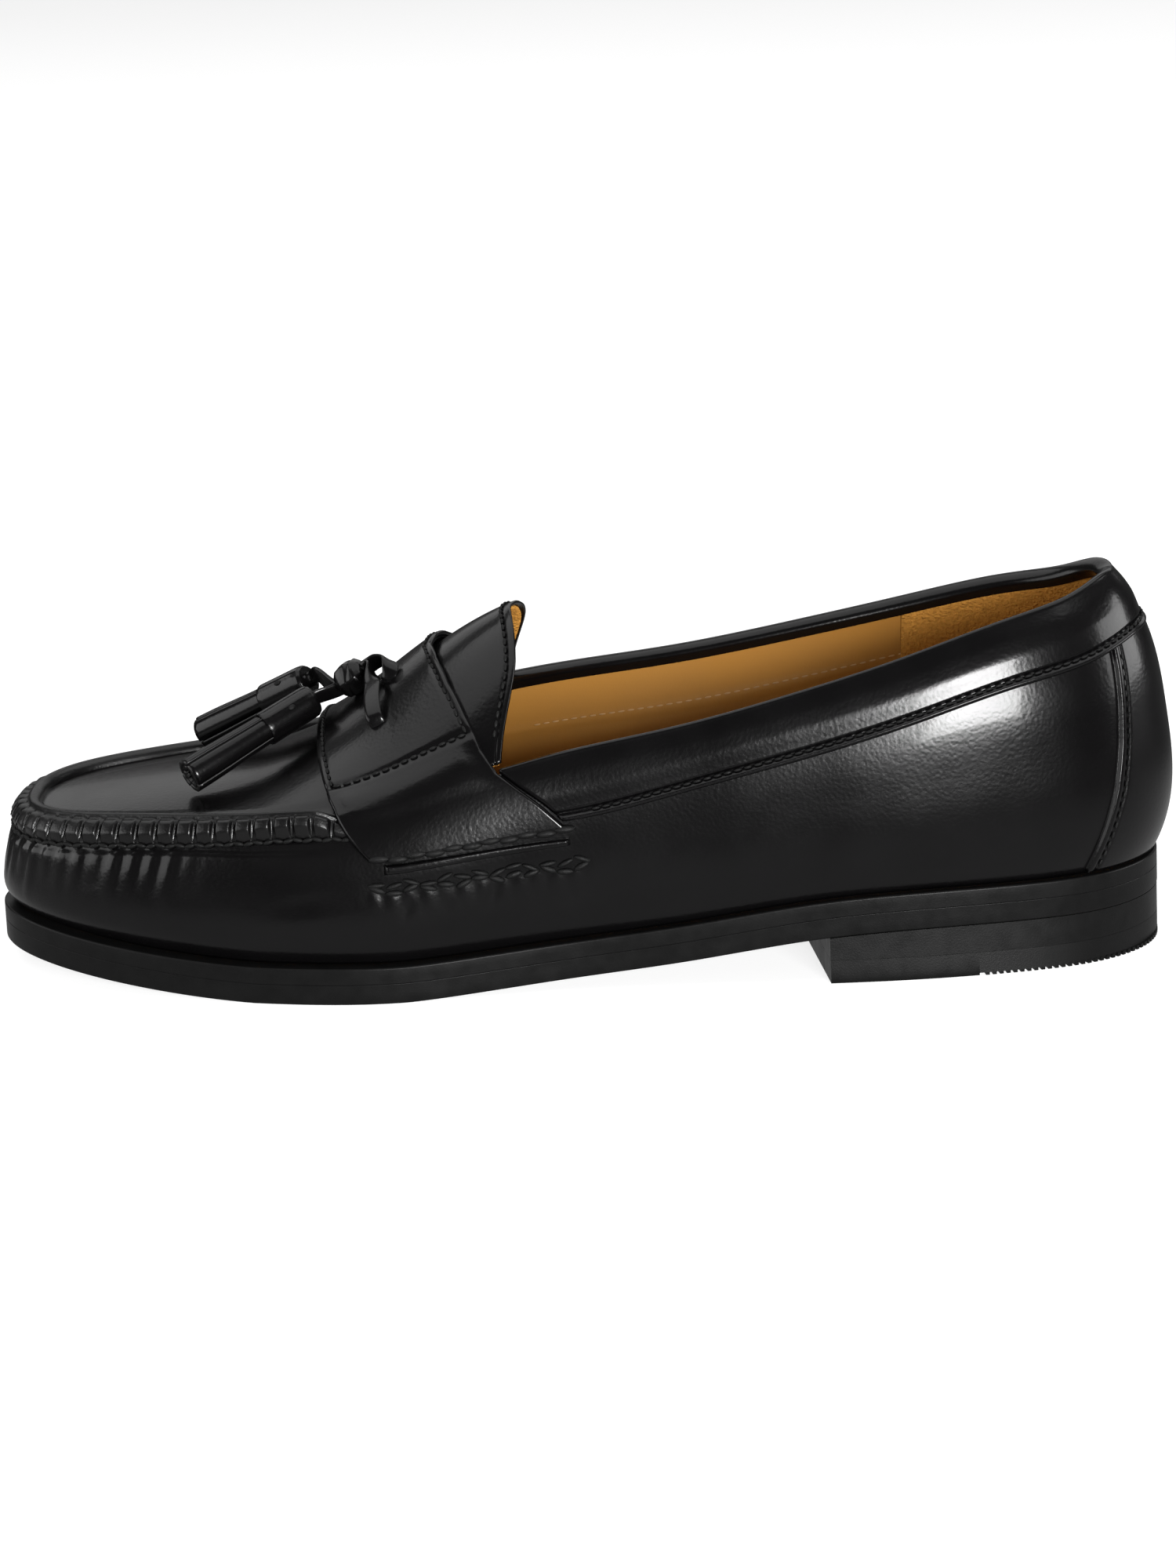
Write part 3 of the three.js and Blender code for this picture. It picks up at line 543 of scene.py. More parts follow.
class LoaferSizes(bpy.types.PropertyGroup):
    """Sizes of the loafer's small details."""

    leather_grain: bpy.props.FloatProperty(
        name="Leather grain", description="Size of the leather's pebbles", unit="LENGTH",
        min=0.0001, max=0.003, default=0.0005, precision=4,
    )
    block_pitch: bpy.props.FloatProperty(
        name="Block pitch", description="Length of one gathered block of the toe seam",
        unit="LENGTH", min=0.003, max=0.01, default=0.0053, precision=4,
    )
    pucker_depth: bpy.props.FloatProperty(
        name="Pucker depth", description="Depth of the folds under the toe seam", unit="LENGTH",
        min=0, max=0.003, default=0.0008, precision=4,
    )
    stitch: bpy.props.FloatProperty(
        name="Stitch", description="Length of one stitch of the panels", unit="LENGTH",
        min=0.001, max=0.006, default=0.0024, precision=4,
    )
    thread: bpy.props.FloatProperty(
        name="Thread", description="Thickness of the panels' thread", unit="LENGTH",
        min=0.0002, max=0.002, default=0.0006, precision=4,
    )


def sizes():
    """The sizes that a user may change."""
    return bpy.context.scene.loafer_sizes


def finish_of(name):
    """The material of that name, made the first time that a piece asks for it."""
    if name in bpy.data.materials:
        return bpy.data.materials[name]
    group = bpy.data.node_groups.get("leather_grain") or grain_group()
    colours = bpy.context.scene.loafer_colours
    grain = sizes().leather_grain

    def tones(colour, share):
        return tuple(colour), tuple(value * share for value in colour)

    makers = {
        "polished_leather": lambda: grained(
            name, group, tones(colours.leather, 1.6), (0.20, 0.26), grain * 1.8, 0.13, coat=0.12,
            coat_rough=0.07, depth=0.0002, specular=0.24),
        "matt_leather": lambda: grained(
            name, group, tones(colours.leather, 2.2), (0.42, 0.55), grain * 0.7, 0.3),
        "edge_dressing": lambda: grained(
            name, group, tones(colours.sole_edge, 1.6), (0.32, 0.42), grain * 0.8, 0.12,
            cloud=220.0, specular=0.12),
        "matt_rubber": lambda: grained(
            name, group, tones(colours.sole_edge, 1.3), (0.36, 0.46), grain * 0.6, 0.15,
            specular=0.13),
        "lining_leather": lambda: grained(
            name, group, tones(colours.lining, 0.8), (0.5, 0.62), grain * 0.9, 0.18, cloud=38.0),
        "suede": lambda: grained(
            name, group, tones(colours.suede, 0.45), (0.9, 0.98), grain * 1.3, 1.0, cloud=900.0,
            depth=0.0005, specular=0.05),
        "waxed_thread": lambda: grained(
            name, group, tones(colours.thread, 1.8), (0.24, 0.34), grain * 0.5, 0.4, coat=0.4,
            specular=0.6),
        "dull_thread": lambda: grained(
            name, group, tones(colours.thread, 1.8), (0.5, 0.65), grain * 0.5, 0.6, specular=0.22),
        "gathered_leather": lambda: grained(
            name, group, tones(colours.leather, 1.6), (0.28, 0.38), grain, 0.3, specular=0.4),
        "lining_thread": lambda: grained(
            name, group, tones(colours.lining_thread, 0.75), (0.6, 0.75), grain * 0.5, 0.4),
    }
    return makers[name]()


# ---- upper ----

RIDGE_HEIGHT = 2.4
WALL = 2.0
RIDGE_INSIDE = 2.2
STRAP_THICK = 2.0
SEAM_START = 8.8
PLUG_START = 8.7
PLUG_END = TOE - 0.06
SEAM_RISE = 1.5

# Soft creases: station, across, length, turn in degrees, depth and width
CREASES = (
    (8.6, 1.62, 7.0, 74.0, 0.35, 2.2),
    (8.2, 1.63, 8.0, 80.0, 0.30, 2.4),
    (7.75, 1.64, 7.0, 70.0, 0.35, 2.2),
    (7.3, 1.68, 8.0, 82.0, 0.30, 2.4),
    (9.6, 1.55, 16.0, 12.0, 0.25, 5.0),
    (6.9, 1.72, 14.0, 20.0, 0.25, 5.0),
)


def creased(k, g):
    """Depth of the creases on the lateral wall, and their mirror on the medial one."""
    total = 0 * k
    for station, across, length, turn, depth, width in CREASES:
        x = (k - station) * 22
        y = (np.abs(g) - across) * 42
        run = x * math.cos(math.radians(turn)) + y * math.sin(math.radians(turn))
        off = y * math.cos(math.radians(turn)) - x * math.sin(math.radians(turn))
        total = total + depth * trough(off, width) * trough(run, length)
    return total


def station_of(u):
    """The station of a place round the shoe."""
    return np.minimum(u, RING - u)


def seam_place(u):
    """Length along the toe seam from the tip, in blocks of the gather."""
    return (along_edge(u) - along_edge(TOE)) / (sizes().block_pitch / MM)


def folds(u, v):
    """Soft folds that fan out under the toe seam, as an outward push."""
    below = (panel_foot(u) - v) * rim_height(u)
    front = smooth(10.6, 11.6, station_of(u))
    lean = np.where(u < TOE, 1, -1) * smooth(0, 1.2, np.abs(u - TOE))
    number = seam_place(u) - lean * below * 0.045
    which = np.round(number)
    odd = 0.5 + 0.5 * np.sin(which * 2.4 + 1.0)
    swell = 0.5 + 0.5 * np.cos(2 * np.pi * number)
    reach = 11 + 8 * odd
    start = smooth(-0.8, 3.0, below)
    each = (0.55 + 0.45 * odd) * swell * (1 - smooth(3.0, reach, below))
    common = 0.42 * (1 - smooth(3.0, 14, below))
    return sizes().pucker_depth / MM * front * start * (each - common)


# X and across-place of the gathered seam under the strap
GATHER_ROWS = np.array([(106.1, 1.574), (136.3, 1.514), (162.1, 1.458)])


def gathered(x, g):
    """The sunken seam under the strap, with short wrinkles below it."""
    below = (np.abs(g) - np.interp(x, GATHER_ROWS[:, 0], GATHER_ROWS[:, 1])) * 42
    span = smooth(104.5, 109, x) * (1 - smooth(160, 164.5, x))
    wrinkle = np.cos(2 * np.pi * (x + 0.12 * below) / 4.6) * smooth(0.5, 2.0, below)
    wrinkle = wrinkle * (1 - smooth(3.0, 8.5 + 1.5 * np.sin(x * 0.7), below))
    return span * (0.16 * wrinkle - 0.15 * trough(below - 0.4, 3.4))


def wall_shape(s, t):
    """The wall with its folds, creases and gathered seam, tucked in behind the toe seam."""
    u = evenly(0, RING, s)
    v = t
    k = station_of(u)
    g = 2 - v
    push = folds(u, v) - creased(k, g) + gathered(edge(u)[..., 0], g)
    below = (panel_foot(u) - v) * rim_height(u)
    push = push - 0.5 * trough(below - 1.0, 2.0) * smooth(9.2, 9.8, k)
    point = on_wall(u, v, push)
    front = smooth(9.4, 9.75, k)
    sink = smooth(0.0, 2.0, -below) * front * 1.2
    return point - wall_normal(u, v) * sink[..., None]


def plug_shape(s, t):
    """The toe plug, with a soft dip inside its seam."""
    k = PLUG_START + (PLUG_END - PLUG_START) * s
    w = 2 * t - 1
    rim = np.minimum(1 - np.abs(w), 1) * np.linalg.norm(
        (wall_point(k, 1 + 0 * k) - wall_point(RING - k, 1 + 0 * k))[..., :2], axis=-1) / 2
    dip = -0.35 * trough(rim - 3.2, 2.4)
    return on_body(k, w * 0.985, dip)


def ridge_way(u):
    """The way that the raised toe seam stands."""
    return unit(np.stack((0 * u, 0 * u, 1 + 0 * u), -1) + 0.3 * outward(u))


def seam_line(u, up):
    """The gathered band's outer face: up is 0 at its lower edge and 1 at its top."""
    k = station_of(u)
    lifted = SEAM_RISE * (1 - smooth(9.6, 11.2, k))
    foot = panel_foot(u) + lifted / rim_height(u)
    v = foot + (1 - foot) * up
    rise = (RIDGE_HEIGHT + 0.7 * lifted) * smooth(9.2, 9.6, k) * smooth(0, 0.12, up) * v * v
    return wall_point(u, v) + ridge_way(u) * rise[..., None], wall_normal(u, v), rise


def seam_shape(s, t):
    """The raised toe seam: gathered blocks outside, a rolled top and a short inner face."""
    u = evenly(SEAM_START, RING - SEAM_START, s)
    fade = smooth(8.9, 9.2, station_of(u))
    outer = np.clip(t / 0.6, 0, 1)
    point, normal, _ = seam_line(u, outer * 1.06 - 0.06)
    place = seam_place(u)
    gap = np.abs(place - np.round(place))
    block = smooth(0.07, 0.2, gap) * smooth(0.0, 0.2, outer) * (1 - smooth(0.62, 0.84, outer))
    crown = 1 - 0.3 * (2 * (place - np.floor(place)) - 1) ** 2 - 0.25 * (2 * outer - 0.8) ** 2
    lip = 0.25 * trough(outer - 0.95, 0.12) - 0.35 * trough(outer - 0.8, 0.07)
    push = (0.15 + 1.15 * block * crown * fade + lip * fade) * (1 - smooth(0.9, 1.0, t))
    outside = point + normal * push[..., None]
    top, _, rise = seam_line(u, 1 + 0 * u)
    turn = np.clip((t - 0.6) / 0.4, 0, 1) * math.pi / 2
    inside = top - outward(u) * (RIDGE_INSIDE * np.sin(turn))[..., None]
    inside[..., 2] -= (rise + 0.25) * (1 - np.cos(turn)) - 0.15 * np.sin(2 * turn)
    return np.where((t > 0.6)[..., None], inside, outside)


class LOAFER_OT_upper(bpy.types.Operator):
    """Build the side walls and the toe plug"""

    bl_idname = "loafer.upper"
    bl_label = "Upper"

    def execute(self, context):
        leather, flesh = finish_of("polished_leather"), finish_of("matt_leather")
        leather_sheet("upper_walls", wall_shape, 700, 56, 1.0, [leather, flesh], inside=1,
                      replaces=("upper",))
        leather_sheet("toe_plug", plug_shape, 200, 60, 1.0, [leather, flesh], inside=1)
        return {"FINISHED"}


class LOAFER_OT_toe_seam(bpy.types.Operator):
    """Build the raised toe seam with its gathered blocks"""

    bl_idname = "loafer.toe_seam"
    bl_label = "Toe seam"

    def execute(self, context):
        leather_sheet("toe_seam", seam_shape, 1200, 24, 0.5, [finish_of("gathered_leather")])
        return {"FINISHED"}


# ---- strap, tongue, collar and counter ----

# across-place, then the front and the rear edge as shares of the sole's length
STRAP_ROWS = np.array([
    (0, 0.717, 0.605),
    (0.25, 0.716, 0.600),
    (0.5, 0.714, 0.591),
    (0.72, 0.709, 0.579),
    (0.9, 0.703, 0.567),
    (1, 0.697, 0.556),
    (1.1, 0.688, 0.541),
    (1.21, 0.676, 0.523),
    (1.33, 0.662, 0.506),
    (1.60, 0.630, 0.468),
])
STRAP_FOOT = 1.33
STRAP_PANEL = 0.81
THROAT = 150.7
TONGUE_FRONT = 5.0
TONGUE_LENGTH = 33.2
TONGUE_REACH = TONGUE_LENGTH - TONGUE_FRONT
TONGUE_STITCH_INSET = 2.4
STRAP_STITCH_FRONT = 2.0
STRAP_STITCH_REAR = 1.7
TONGUE_SIDE = 0.96


def strap_edge(g, column):
    """The X of the strap's front (1) or rear (2) edge."""
    return HEEL_BACK + SOLE_LENGTH * np.interp(np.abs(g), STRAP_ROWS[:, 0], STRAP_ROWS[:, column])


def strap_foot(t):
    """Across-place of the strap's lower edge, from its front corner to its rear one."""
    return STRAP_FOOT + 0.086 * (t - 0.52)


def strap_place(s, t):
    """Place along the shoe and across it, for a point of the strap."""
    g = (2 * s - 1) * strap_foot(t)
    x = strap_edge(g, 1) + (strap_edge(g, 2) - strap_edge(g, 1)) * t
    return x, g


def strap_shape(s, t):
    """The strap with rolled edges, stitch grooves and a soft swell down each side."""
    x, g = strap_place(s, t)
    front = strap_edge(g, 1) - x
    rear = x - strap_edge(g, 2)
    foot = (strap_foot(t) - np.abs(g)) * 46
    lift = 2 * CLEAR + STRAP_THICK
    lift = lift - edge_roll(front, 1.6) - edge_roll(rear, 1.6) - edge_roll(foot, 1.6)
    side = (np.abs(g) - STRAP_PANEL) * 40
    held = smooth(0.5, 6.0, rear) * smooth(0.5, 6.0, front)
    lift = lift - 0.35 * trough(side, 1.4) + 0.7 * trough(side - 5.5, 5.0) * held
    lift = lift - 0.14 * trough(front - STRAP_STITCH_FRONT, 0.8) * (np.abs(g) < STRAP_PANEL)
    lift = lift - 0.14 * trough(rear - STRAP_STITCH_REAR, 0.8) * (np.abs(g) < STRAP_PANEL)
    return on_body(station_at(x), g, lift)


def tongue_bow(w):
    """How far the tongue's rear edge curves forward across its width."""
    middle = 1.0 * (1 - smooth(0, 0.45, np.abs(w)))
    return 2.5 * smooth(0.0, 0.5, -w) - middle - 4.4 * smooth(0.5, 1.0, np.abs(w))


def tongue_shape(s, t):
    """The tongue, its front tucked in under the strap."""
    w = (2 * s - 1) * TONGUE_SIDE
    bow = tongue_bow(w) * smooth(0.75, 1.0, t)
    distance = TONGUE_FRONT - TONGUE_LENGTH * t - bow
    rear = TONGUE_REACH + distance + bow
    tucked = -(WALL + CLEAR * 3) * smooth(-5, -1, distance)
    lift = tucked - edge_roll(rear, 1.2) - 0.25 * trough(rear - TONGUE_STITCH_INSET, 1.0)
    return on_body(station_at(THROAT + distance), w, lift)


def tongue_lining_shape(s, t):
    """The suede under the tongue, a little shorter."""
    t = 0.96 * t
    k = station_at(THROAT + TONGUE_FRONT - TONGUE_LENGTH * t)
    return tongue_shape(s, t) - body_normal(k, (2 * s - 1) * TONGUE_SIDE) * 0.95


COLLAR_END = 7.2917
COLLAR_TURN = 5.5
COLLAR_GAP = 0.5
COLLAR_TURN_IN = 2.0
COLLAR_ROW_END = 6.95


def slanted(u, v):
    """Towards the strap the collar's cross-sections slant until they lie along its rear edge."""
    size = np.abs(u)
    limit = station_at(strap_edge(2 - v, 2) - COLLAR_GAP)
    share = np.maximum(0, size - COLLAR_TURN) / (COLLAR_END - COLLAR_TURN)
    return np.sign(u) * (size + share * (limit - COLLAR_END))


def collar_shape(s, t):
    """Up the outside from the lower seam, over the rim and a little way down inside."""
    length = along_edge(RING - COLLAR_END)
    near = along_edge(COLLAR_END)
    far = along_edge(RING) - length
    run = -far + (near + far) * s
    at = np.where(run < 0, np.interp(run + along_edge(RING), ROUND_LENGTH, ROUND) - RING,
                  np.interp(run, ROUND_LENGTH, ROUND))
    outer = np.clip(t / 0.7, 0, 1) ** 1.5
    foot = panel_foot(at % RING)
    v = foot + (1 - foot) * outer
    u = slanted(at, v)
    up = (v - foot) * rim_height(u % RING)
    lift = 1.2 + 0.6 * smooth(2.8, 8, up) * (1 - 0.4 * smooth(0.7, 1.0, outer))
    lift = lift + 0.55 * trough(up - 0.8, 0.95) - 0.75 * trough(up - 2.3, 0.9)
    lift = lift * (1 - 0.7 * (1 - smooth(0, 0.35, up)))
    ends = np.minimum(run + far, near - run)
    lift = lift - edge_roll(ends, 1.2)
    point = on_wall(u % RING, v, lift)
    over = np.clip((t - 0.7) / 0.3, 0, 1)
    rim = wall_point(u % RING, 1 + 0 * u)
    normal = wall_normal(u % RING, 1 + 0 * u)
    up_way = unit(rim - wall_point(u % RING, 0.97 + 0 * u))
    turn = np.clip(over / 0.5, 0, 1) * math.pi
    half = (1.75 + WALL + 1.1) / 2
    centre = rim + normal * (1.75 - half)
    arc = centre + normal * (half * np.cos(turn))[..., None]
    arc = arc + up_way * (1.5 * np.sin(turn))[..., None]
    down = np.clip((over - 0.5) / 0.5, 0, 1)
    arc = arc - up_way * (down * COLLAR_TURN_IN)[..., None]
    return np.where((t > 0.7)[..., None], arc, point)


# share of the way up to the collar's seam, and the station that the counter reaches there
COUNTER_ROWS = np.array([
    (0.02, 2.10), (0.08, 2.05), (0.22, 1.93), (0.4, 1.78), (0.6, 1.66), (0.78, 1.60), (0.92, 1.57),
    (1.03, 1.55),
])


def counter_shape(s, t):
    """The heel counter, with a raised edge and a stitch groove."""
    up = 0.02 + 1.0 * t
    reach = np.interp(up, COUNTER_ROWS[:, 0], COUNTER_ROWS[:, 1])
    side = 2 * s - 1
    at = np.sign(side) * reach * (1 - (1 - np.abs(side)) ** 2)
    length = np.where(at < 0, along_edge(RING) - along_edge(at % RING), along_edge(at % RING))
    off = along_edge(reach) - length
    lift = 0.9 * smooth(0, 0.5, off) + 0.3 + 0.2 * trough(off - 1.1, 1.1)
    lift = lift - 0.4 * trough(off - 2.7, 1.0)
    u = at % RING
    return on_wall(u, up * panel_foot(u), lift)


class LOAFER_OT_strap(bpy.types.Operator):
    """Build the saddle strap and the tongue"""

    bl_idname = "loafer.strap"
    bl_label = "Strap and tongue"

    def execute(self, context):
        leather, flesh = finish_of("polished_leather"), finish_of("matt_leather")
        leather_sheet("strap", strap_shape, 320, 80, 1.6, [leather, flesh], inside=1,
                      replaces=("saddle_strap",))
        leather_sheet("tongue_flap", tongue_shape, 150, 80, 0.9, [leather], replaces=("tongue",))
        suede = finish_of("suede")
        leather_sheet("tongue_lining", tongue_lining_shape, 100, 50, 0.8, [suede])
        return {"FINISHED"}


class LOAFER_OT_collar(bpy.types.Operator):
    """Build the collar band and the heel counter"""

    bl_idname = "loafer.collar"
    bl_label = "Collar and counter"

    def execute(self, context):
        leather = finish_of("polished_leather")
        leather_sheet("collar", collar_shape, 470, 70, 0.6, [leather], replaces=("collar_band",))
        leather_sheet("counter", counter_shape, 180, 80, 1.1, [leather], replaces=("heel_counter",))
        return {"FINISHED"}


# ---- lining ----

GRIP_END = 4.0
LINING_END = 8.45
LINING_ROW_END = 7.4
LINING_SEAM = 14.5
FRONT_LINING_START = 8.6
FRONT_LINING_END = 14.5


def lining_shape(s, t):
    """The lining inside the wall, with a seam and soft waves at the sides."""
    u = (LINING_END * (2 * s - 1)) % RING
    rim = 1 - 1.6 / rim_height(u)
    seam = (1 - t) * rim_height(u) - LINING_SEAM
    puff = 0.5 * trough(seam, 1.4)
    front = LINING_END * np.abs(2 * s - 1)
    wave = 0.8 * np.sin(front * 5.5 + t * 9) * smooth(4.6, 6.4, front) * smooth(0.3, 0.8, t)
    return on_wall(u, 0.01 + (rim - 0.01) * t, -1.25 - puff + 0.25 * wave * (1 - t))


def grip_shape(s, t):
    """The suede grip inside the heel."""
    u = (-GRIP_END + 2 * GRIP_END * s) % RING
    rim = 1 - 1.7 / rim_height(u)
    return on_wall(u, 0.03 + (rim - 0.03) * t, -2.15 + 0 * u)


def front_lining_shape(s, t):
    """The lining under the strap and the plug."""
    k = FRONT_LINING_START + (FRONT_LINING_END - FRONT_LINING_START) * s
    g = 3.9 * (t - 0.5)
    return on_body(k, g, -1.2 + 0 * k)


class LOAFER_OT_lining(bpy.types.Operator):
    """Build the lining and the heel grip"""

    bl_idname = "loafer.lining"
    bl_label = "Lining"

    def execute(self, context):
        tan, suede = finish_of("lining_leather"), finish_of("suede")
        leather_sheet("lining", lining_shape, 330, 48, 0.7, [tan])
        leather_sheet("heel_grip", grip_shape, 160, 40, 0.5, [suede])
        leather_sheet("front_lining", front_lining_shape, 60, 60, 0.7, [tan])
        return {"FINISHED"}


# ---- sole ----

# inset and height over the underside, round the outsole's edge and then the welt's
SOLE_LEVELS = np.array([
    (14.0, 0.0), (0.75, 0.0), (0.6, 0.01), (0.2, 0.1), (0.03, 0.35), (0.0, 0.55), (0.0, 5.05),
    (0.0, 5.2), (0.1, 5.3), (14.0, 5.3),
])
WELT_LEVELS = np.array([
    (9.0, 5.3), (0.1, 5.3), (0.0, 5.4), (0.0, 5.55), (0.0, 9.1), (0.03, 9.3), (0.15, 9.5),
    (0.4, 9.6), (0.55, 9.6), (9.0, 9.6),
])


def rim_of_sole(levels):
    """The outer faces of a layer of the sole, through its levels."""
    def shape(s, t):
        u = evenly(0, RING, s)
        place = t * (len(levels) - 1)
        numbers = np.arange(len(levels))
        inset = np.interp(place, numbers, levels[:, 0])
        height = np.interp(place, numbers, levels[:, 1])
        return edge_point(u, inset, underside(u) + height)

    return shape


def sole_face(height, inset):
    """A level face across the sole."""
    def shape(s, t):
        k = 0.02 + (TOE - 0.04) * s
        lateral = edge_point(k, inset + 0 * k, height(k))
        medial = edge_point(RING - k, inset + 0 * k, height(k))
        return medial + (lateral - medial) * t[..., None]

    return shape


SHARP_CORNER = math.radians(32)


def rounded_copy(name, node, material, levels=2, low=0.0, high=0.0, front=0.0):
    """A smooth copy of a faceted solid: merged, its strips made quads, its corners kept sharp.

    Its lower, upper and front faces may move by low, high and front millimetres to close joints.
    """
    bm = bmesh.new()
    bm.from_mesh(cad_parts[node].data)
    bmesh.ops.remove_doubles(bm, verts=bm.verts, dist=MERGE)
    bmesh.ops.join_triangles(
        bm, faces=bm.faces, angle_face_threshold=math.radians(12),
        angle_shape_threshold=math.radians(60),
    )
    bm.normal_update()
    for vert in bm.verts:
        up = sum((face.normal.z for face in vert.link_faces if abs(face.normal.z) > 0.8), 0)
        vert.co.z += (high if up > 0 else low if up < 0 else 0) * MM
        if any(face.normal.x > 0.8 for face in vert.link_faces):
            vert.co.x += front * MM
    bm.normal_update()
    crease = bm.edges.layers.float.new("crease_edge")
    for item in bm.edges:
        if len(item.link_faces) == 2 and item.calc_face_angle(0) > SHARP_CORNER:
            item[crease] = 1
            item.smooth = False
    piece = add_piece(name, bm, [material], (node,))
    rounding = piece.modifiers.new("rounding", "SUBSURF")
    rounding.levels = levels
    rounding.render_levels = levels
    return piece


LUG_PITCH = 1.8
LUG_HEIGHT = 0.9
LUG_DEPTH = 2.0
LUG_SHARE = 0.55
LUG_SUNK = 0.15
SPLIT_PLACE = 3.36


def heel_lugs(bm):
    """Small lugs round the rubber lift's lower edge."""
    start = along_edge(RING) - along_edge(RING - SPLIT_PLACE)
    end = along_edge(SPLIT_PLACE)
    for number in range(int((start + end) / LUG_PITCH)):
        run = -start + (number + 0.5) * LUG_PITCH
        u = np.interp(run % along_edge(RING), ROUND_LENGTH, ROUND)
        inset = 1.1 - smooth(0.0, 1.2, station_of(u))
        point = edge_point(np.array([u]), np.array([inset]), np.array([LUG_HEIGHT / 2]))[0]
        out = outward(np.array([u]))[0]
        side = np.array([-out[1], out[0], 0])
        tall = LUG_HEIGHT * (1 + LUG_SUNK)
        raised = Vector(point) + Vector((0, 0, LUG_HEIGHT * LUG_SUNK / 2))
        matrix = axes_at(out * LUG_DEPTH, side * LUG_PITCH * LUG_SHARE, (0, 0, tall), raised)
        bmesh.ops.create_cube(bm, size=1.0, matrix=Matrix.Scale(MM, 4) @ matrix)


class LOAFER_OT_sole(bpy.types.Operator):
    """Build the outsole, welt, insole and heel"""

    bl_idname = "loafer.sole"
    bl_label = "Sole and heel"

    def execute(self, context):
        dressing, tan = finish_of("edge_dressing"), finish_of("lining_leather")
        bm = shaped_grid(rim_of_sole(SOLE_LEVELS), 420, (len(SOLE_LEVELS) - 1) * 2)
        add_grid(bm, sole_face(underside, 12.0), 120, 6)
        finish_piece("outsole_edge", bm, [dressing], shells=False, replaces=("outsole",))
        bm = shaped_grid(rim_of_sole(WELT_LEVELS), 420, (len(WELT_LEVELS) - 1) * 2)
        finish_piece("welt_edge", bm, [dressing], shells=False, replaces=("welt",))
        rounded_copy("insole_sock", "insole", tan, levels=1)
        rounded_copy("heel_base", "heel_stack", dressing, low=-0.25, high=0.3)
        rounded_copy("heel_front_lift", "top_lift_front", dressing)
        rounded_copy("heel_rear_lift", "top_lift_rear", finish_of("matt_rubber"), low=LUG_HEIGHT,
                     front=0.35)
        bm = bmesh.new()
        heel_lugs(bm)
        finish_piece("heel_lugs", bm, [finish_of("matt_rubber")], shells=False, smooth_faces=False)
        return {"FINISHED"}


# ---- tassels and thongs ----


def over(along, across, lift):
    """A place over the instep: share of the sole's length, across, and lift off the form."""
    k = station_at(HEEL_BACK + SOLE_LENGTH * np.asarray(along, float))
    return on_body(k, np.asarray(across, float) + 0 * k, np.asarray(lift, float))


TASSEL_RADIUS = 4.6
KNOT_RADIUS = 3.8
KNOT_SWELL = 1.3
KNOT_SHIFT = 0.8
THONG_WIDTH = 4.2
THONG_THICK = 1.1
ROUNDED_END = 0.02
THONG_POINTS = 90
OVER_STRAP = CLEAR * 3 + STRAP_THICK
KNOT_ENDS = over([0.6830, 0.6570], [-0.110, -0.085], [OVER_STRAP + KNOT_RADIUS] * 2)
TASSEL_ENDS = {
    "near": over([0.7090, 0.8324], [-0.053, 0.543], [8.1, CLEAR * 2 + TASSEL_RADIUS]),
    "far": over([0.7096, 0.8358], [-0.300, -0.750], [11.6, CLEAR * 2 + TASSEL_RADIUS]),
}


def round_axis(ends):
    """Places round an axis: share along it, radius and angle."""
    start, end = ends
    axis = unit(end - start)
    side = unit(np.cross(axis, (0, 0, 1)))
    up = np.cross(side, axis)

    def place(along, radius, angle):
        return (start + (end - start) * along[..., None]
                + side * (radius * np.cos(angle))[..., None]
                + up * (radius * np.sin(angle))[..., None])

    return place


# middle and width of each fringe strip as shares of the turn, its end and its lift
STRIPS = (
    (0.440, 0.250, 1.000, 0.00),
    (0.2645, 0.085, 0.997, 0.05),
    (0.170, 0.090, 1.000, -0.05),
    (0.053, 0.130, 0.996, 0.05),
    (0.914, 0.132, 1.000, 0.02),
    (0.787, 0.105, 0.997, -0.05),
    (0.650, 0.154, 0.998, 0.05),
)


def turned(profile, t):
    """Radius and place along the axis, on a profile of such pairs."""
    numbers = np.linspace(0, 1, len(profile))
    return (np.interp(t, numbers, values) for values in np.array(profile).T)


# radius and place along the axis, of the tassel's cap and of the knot
CAP_PROFILE = ((0.0, 0.004), (0.55, 0.0), (0.86, 0.0), (0.97, 0.02), (1.0, 0.06), (1.01, 0.2),
               (1.03, 0.385), (1.0, 0.395))
KNOT_PROFILE = ((0.0, 0.0), (0.5, 0.0), (0.62, 0.03), (0.9, 0.2), (1.0, 0.42), (1.0, 0.58),
                (0.92, 0.8), (0.62, 0.97), (0.5, 1.0), (0.0, 1.0))


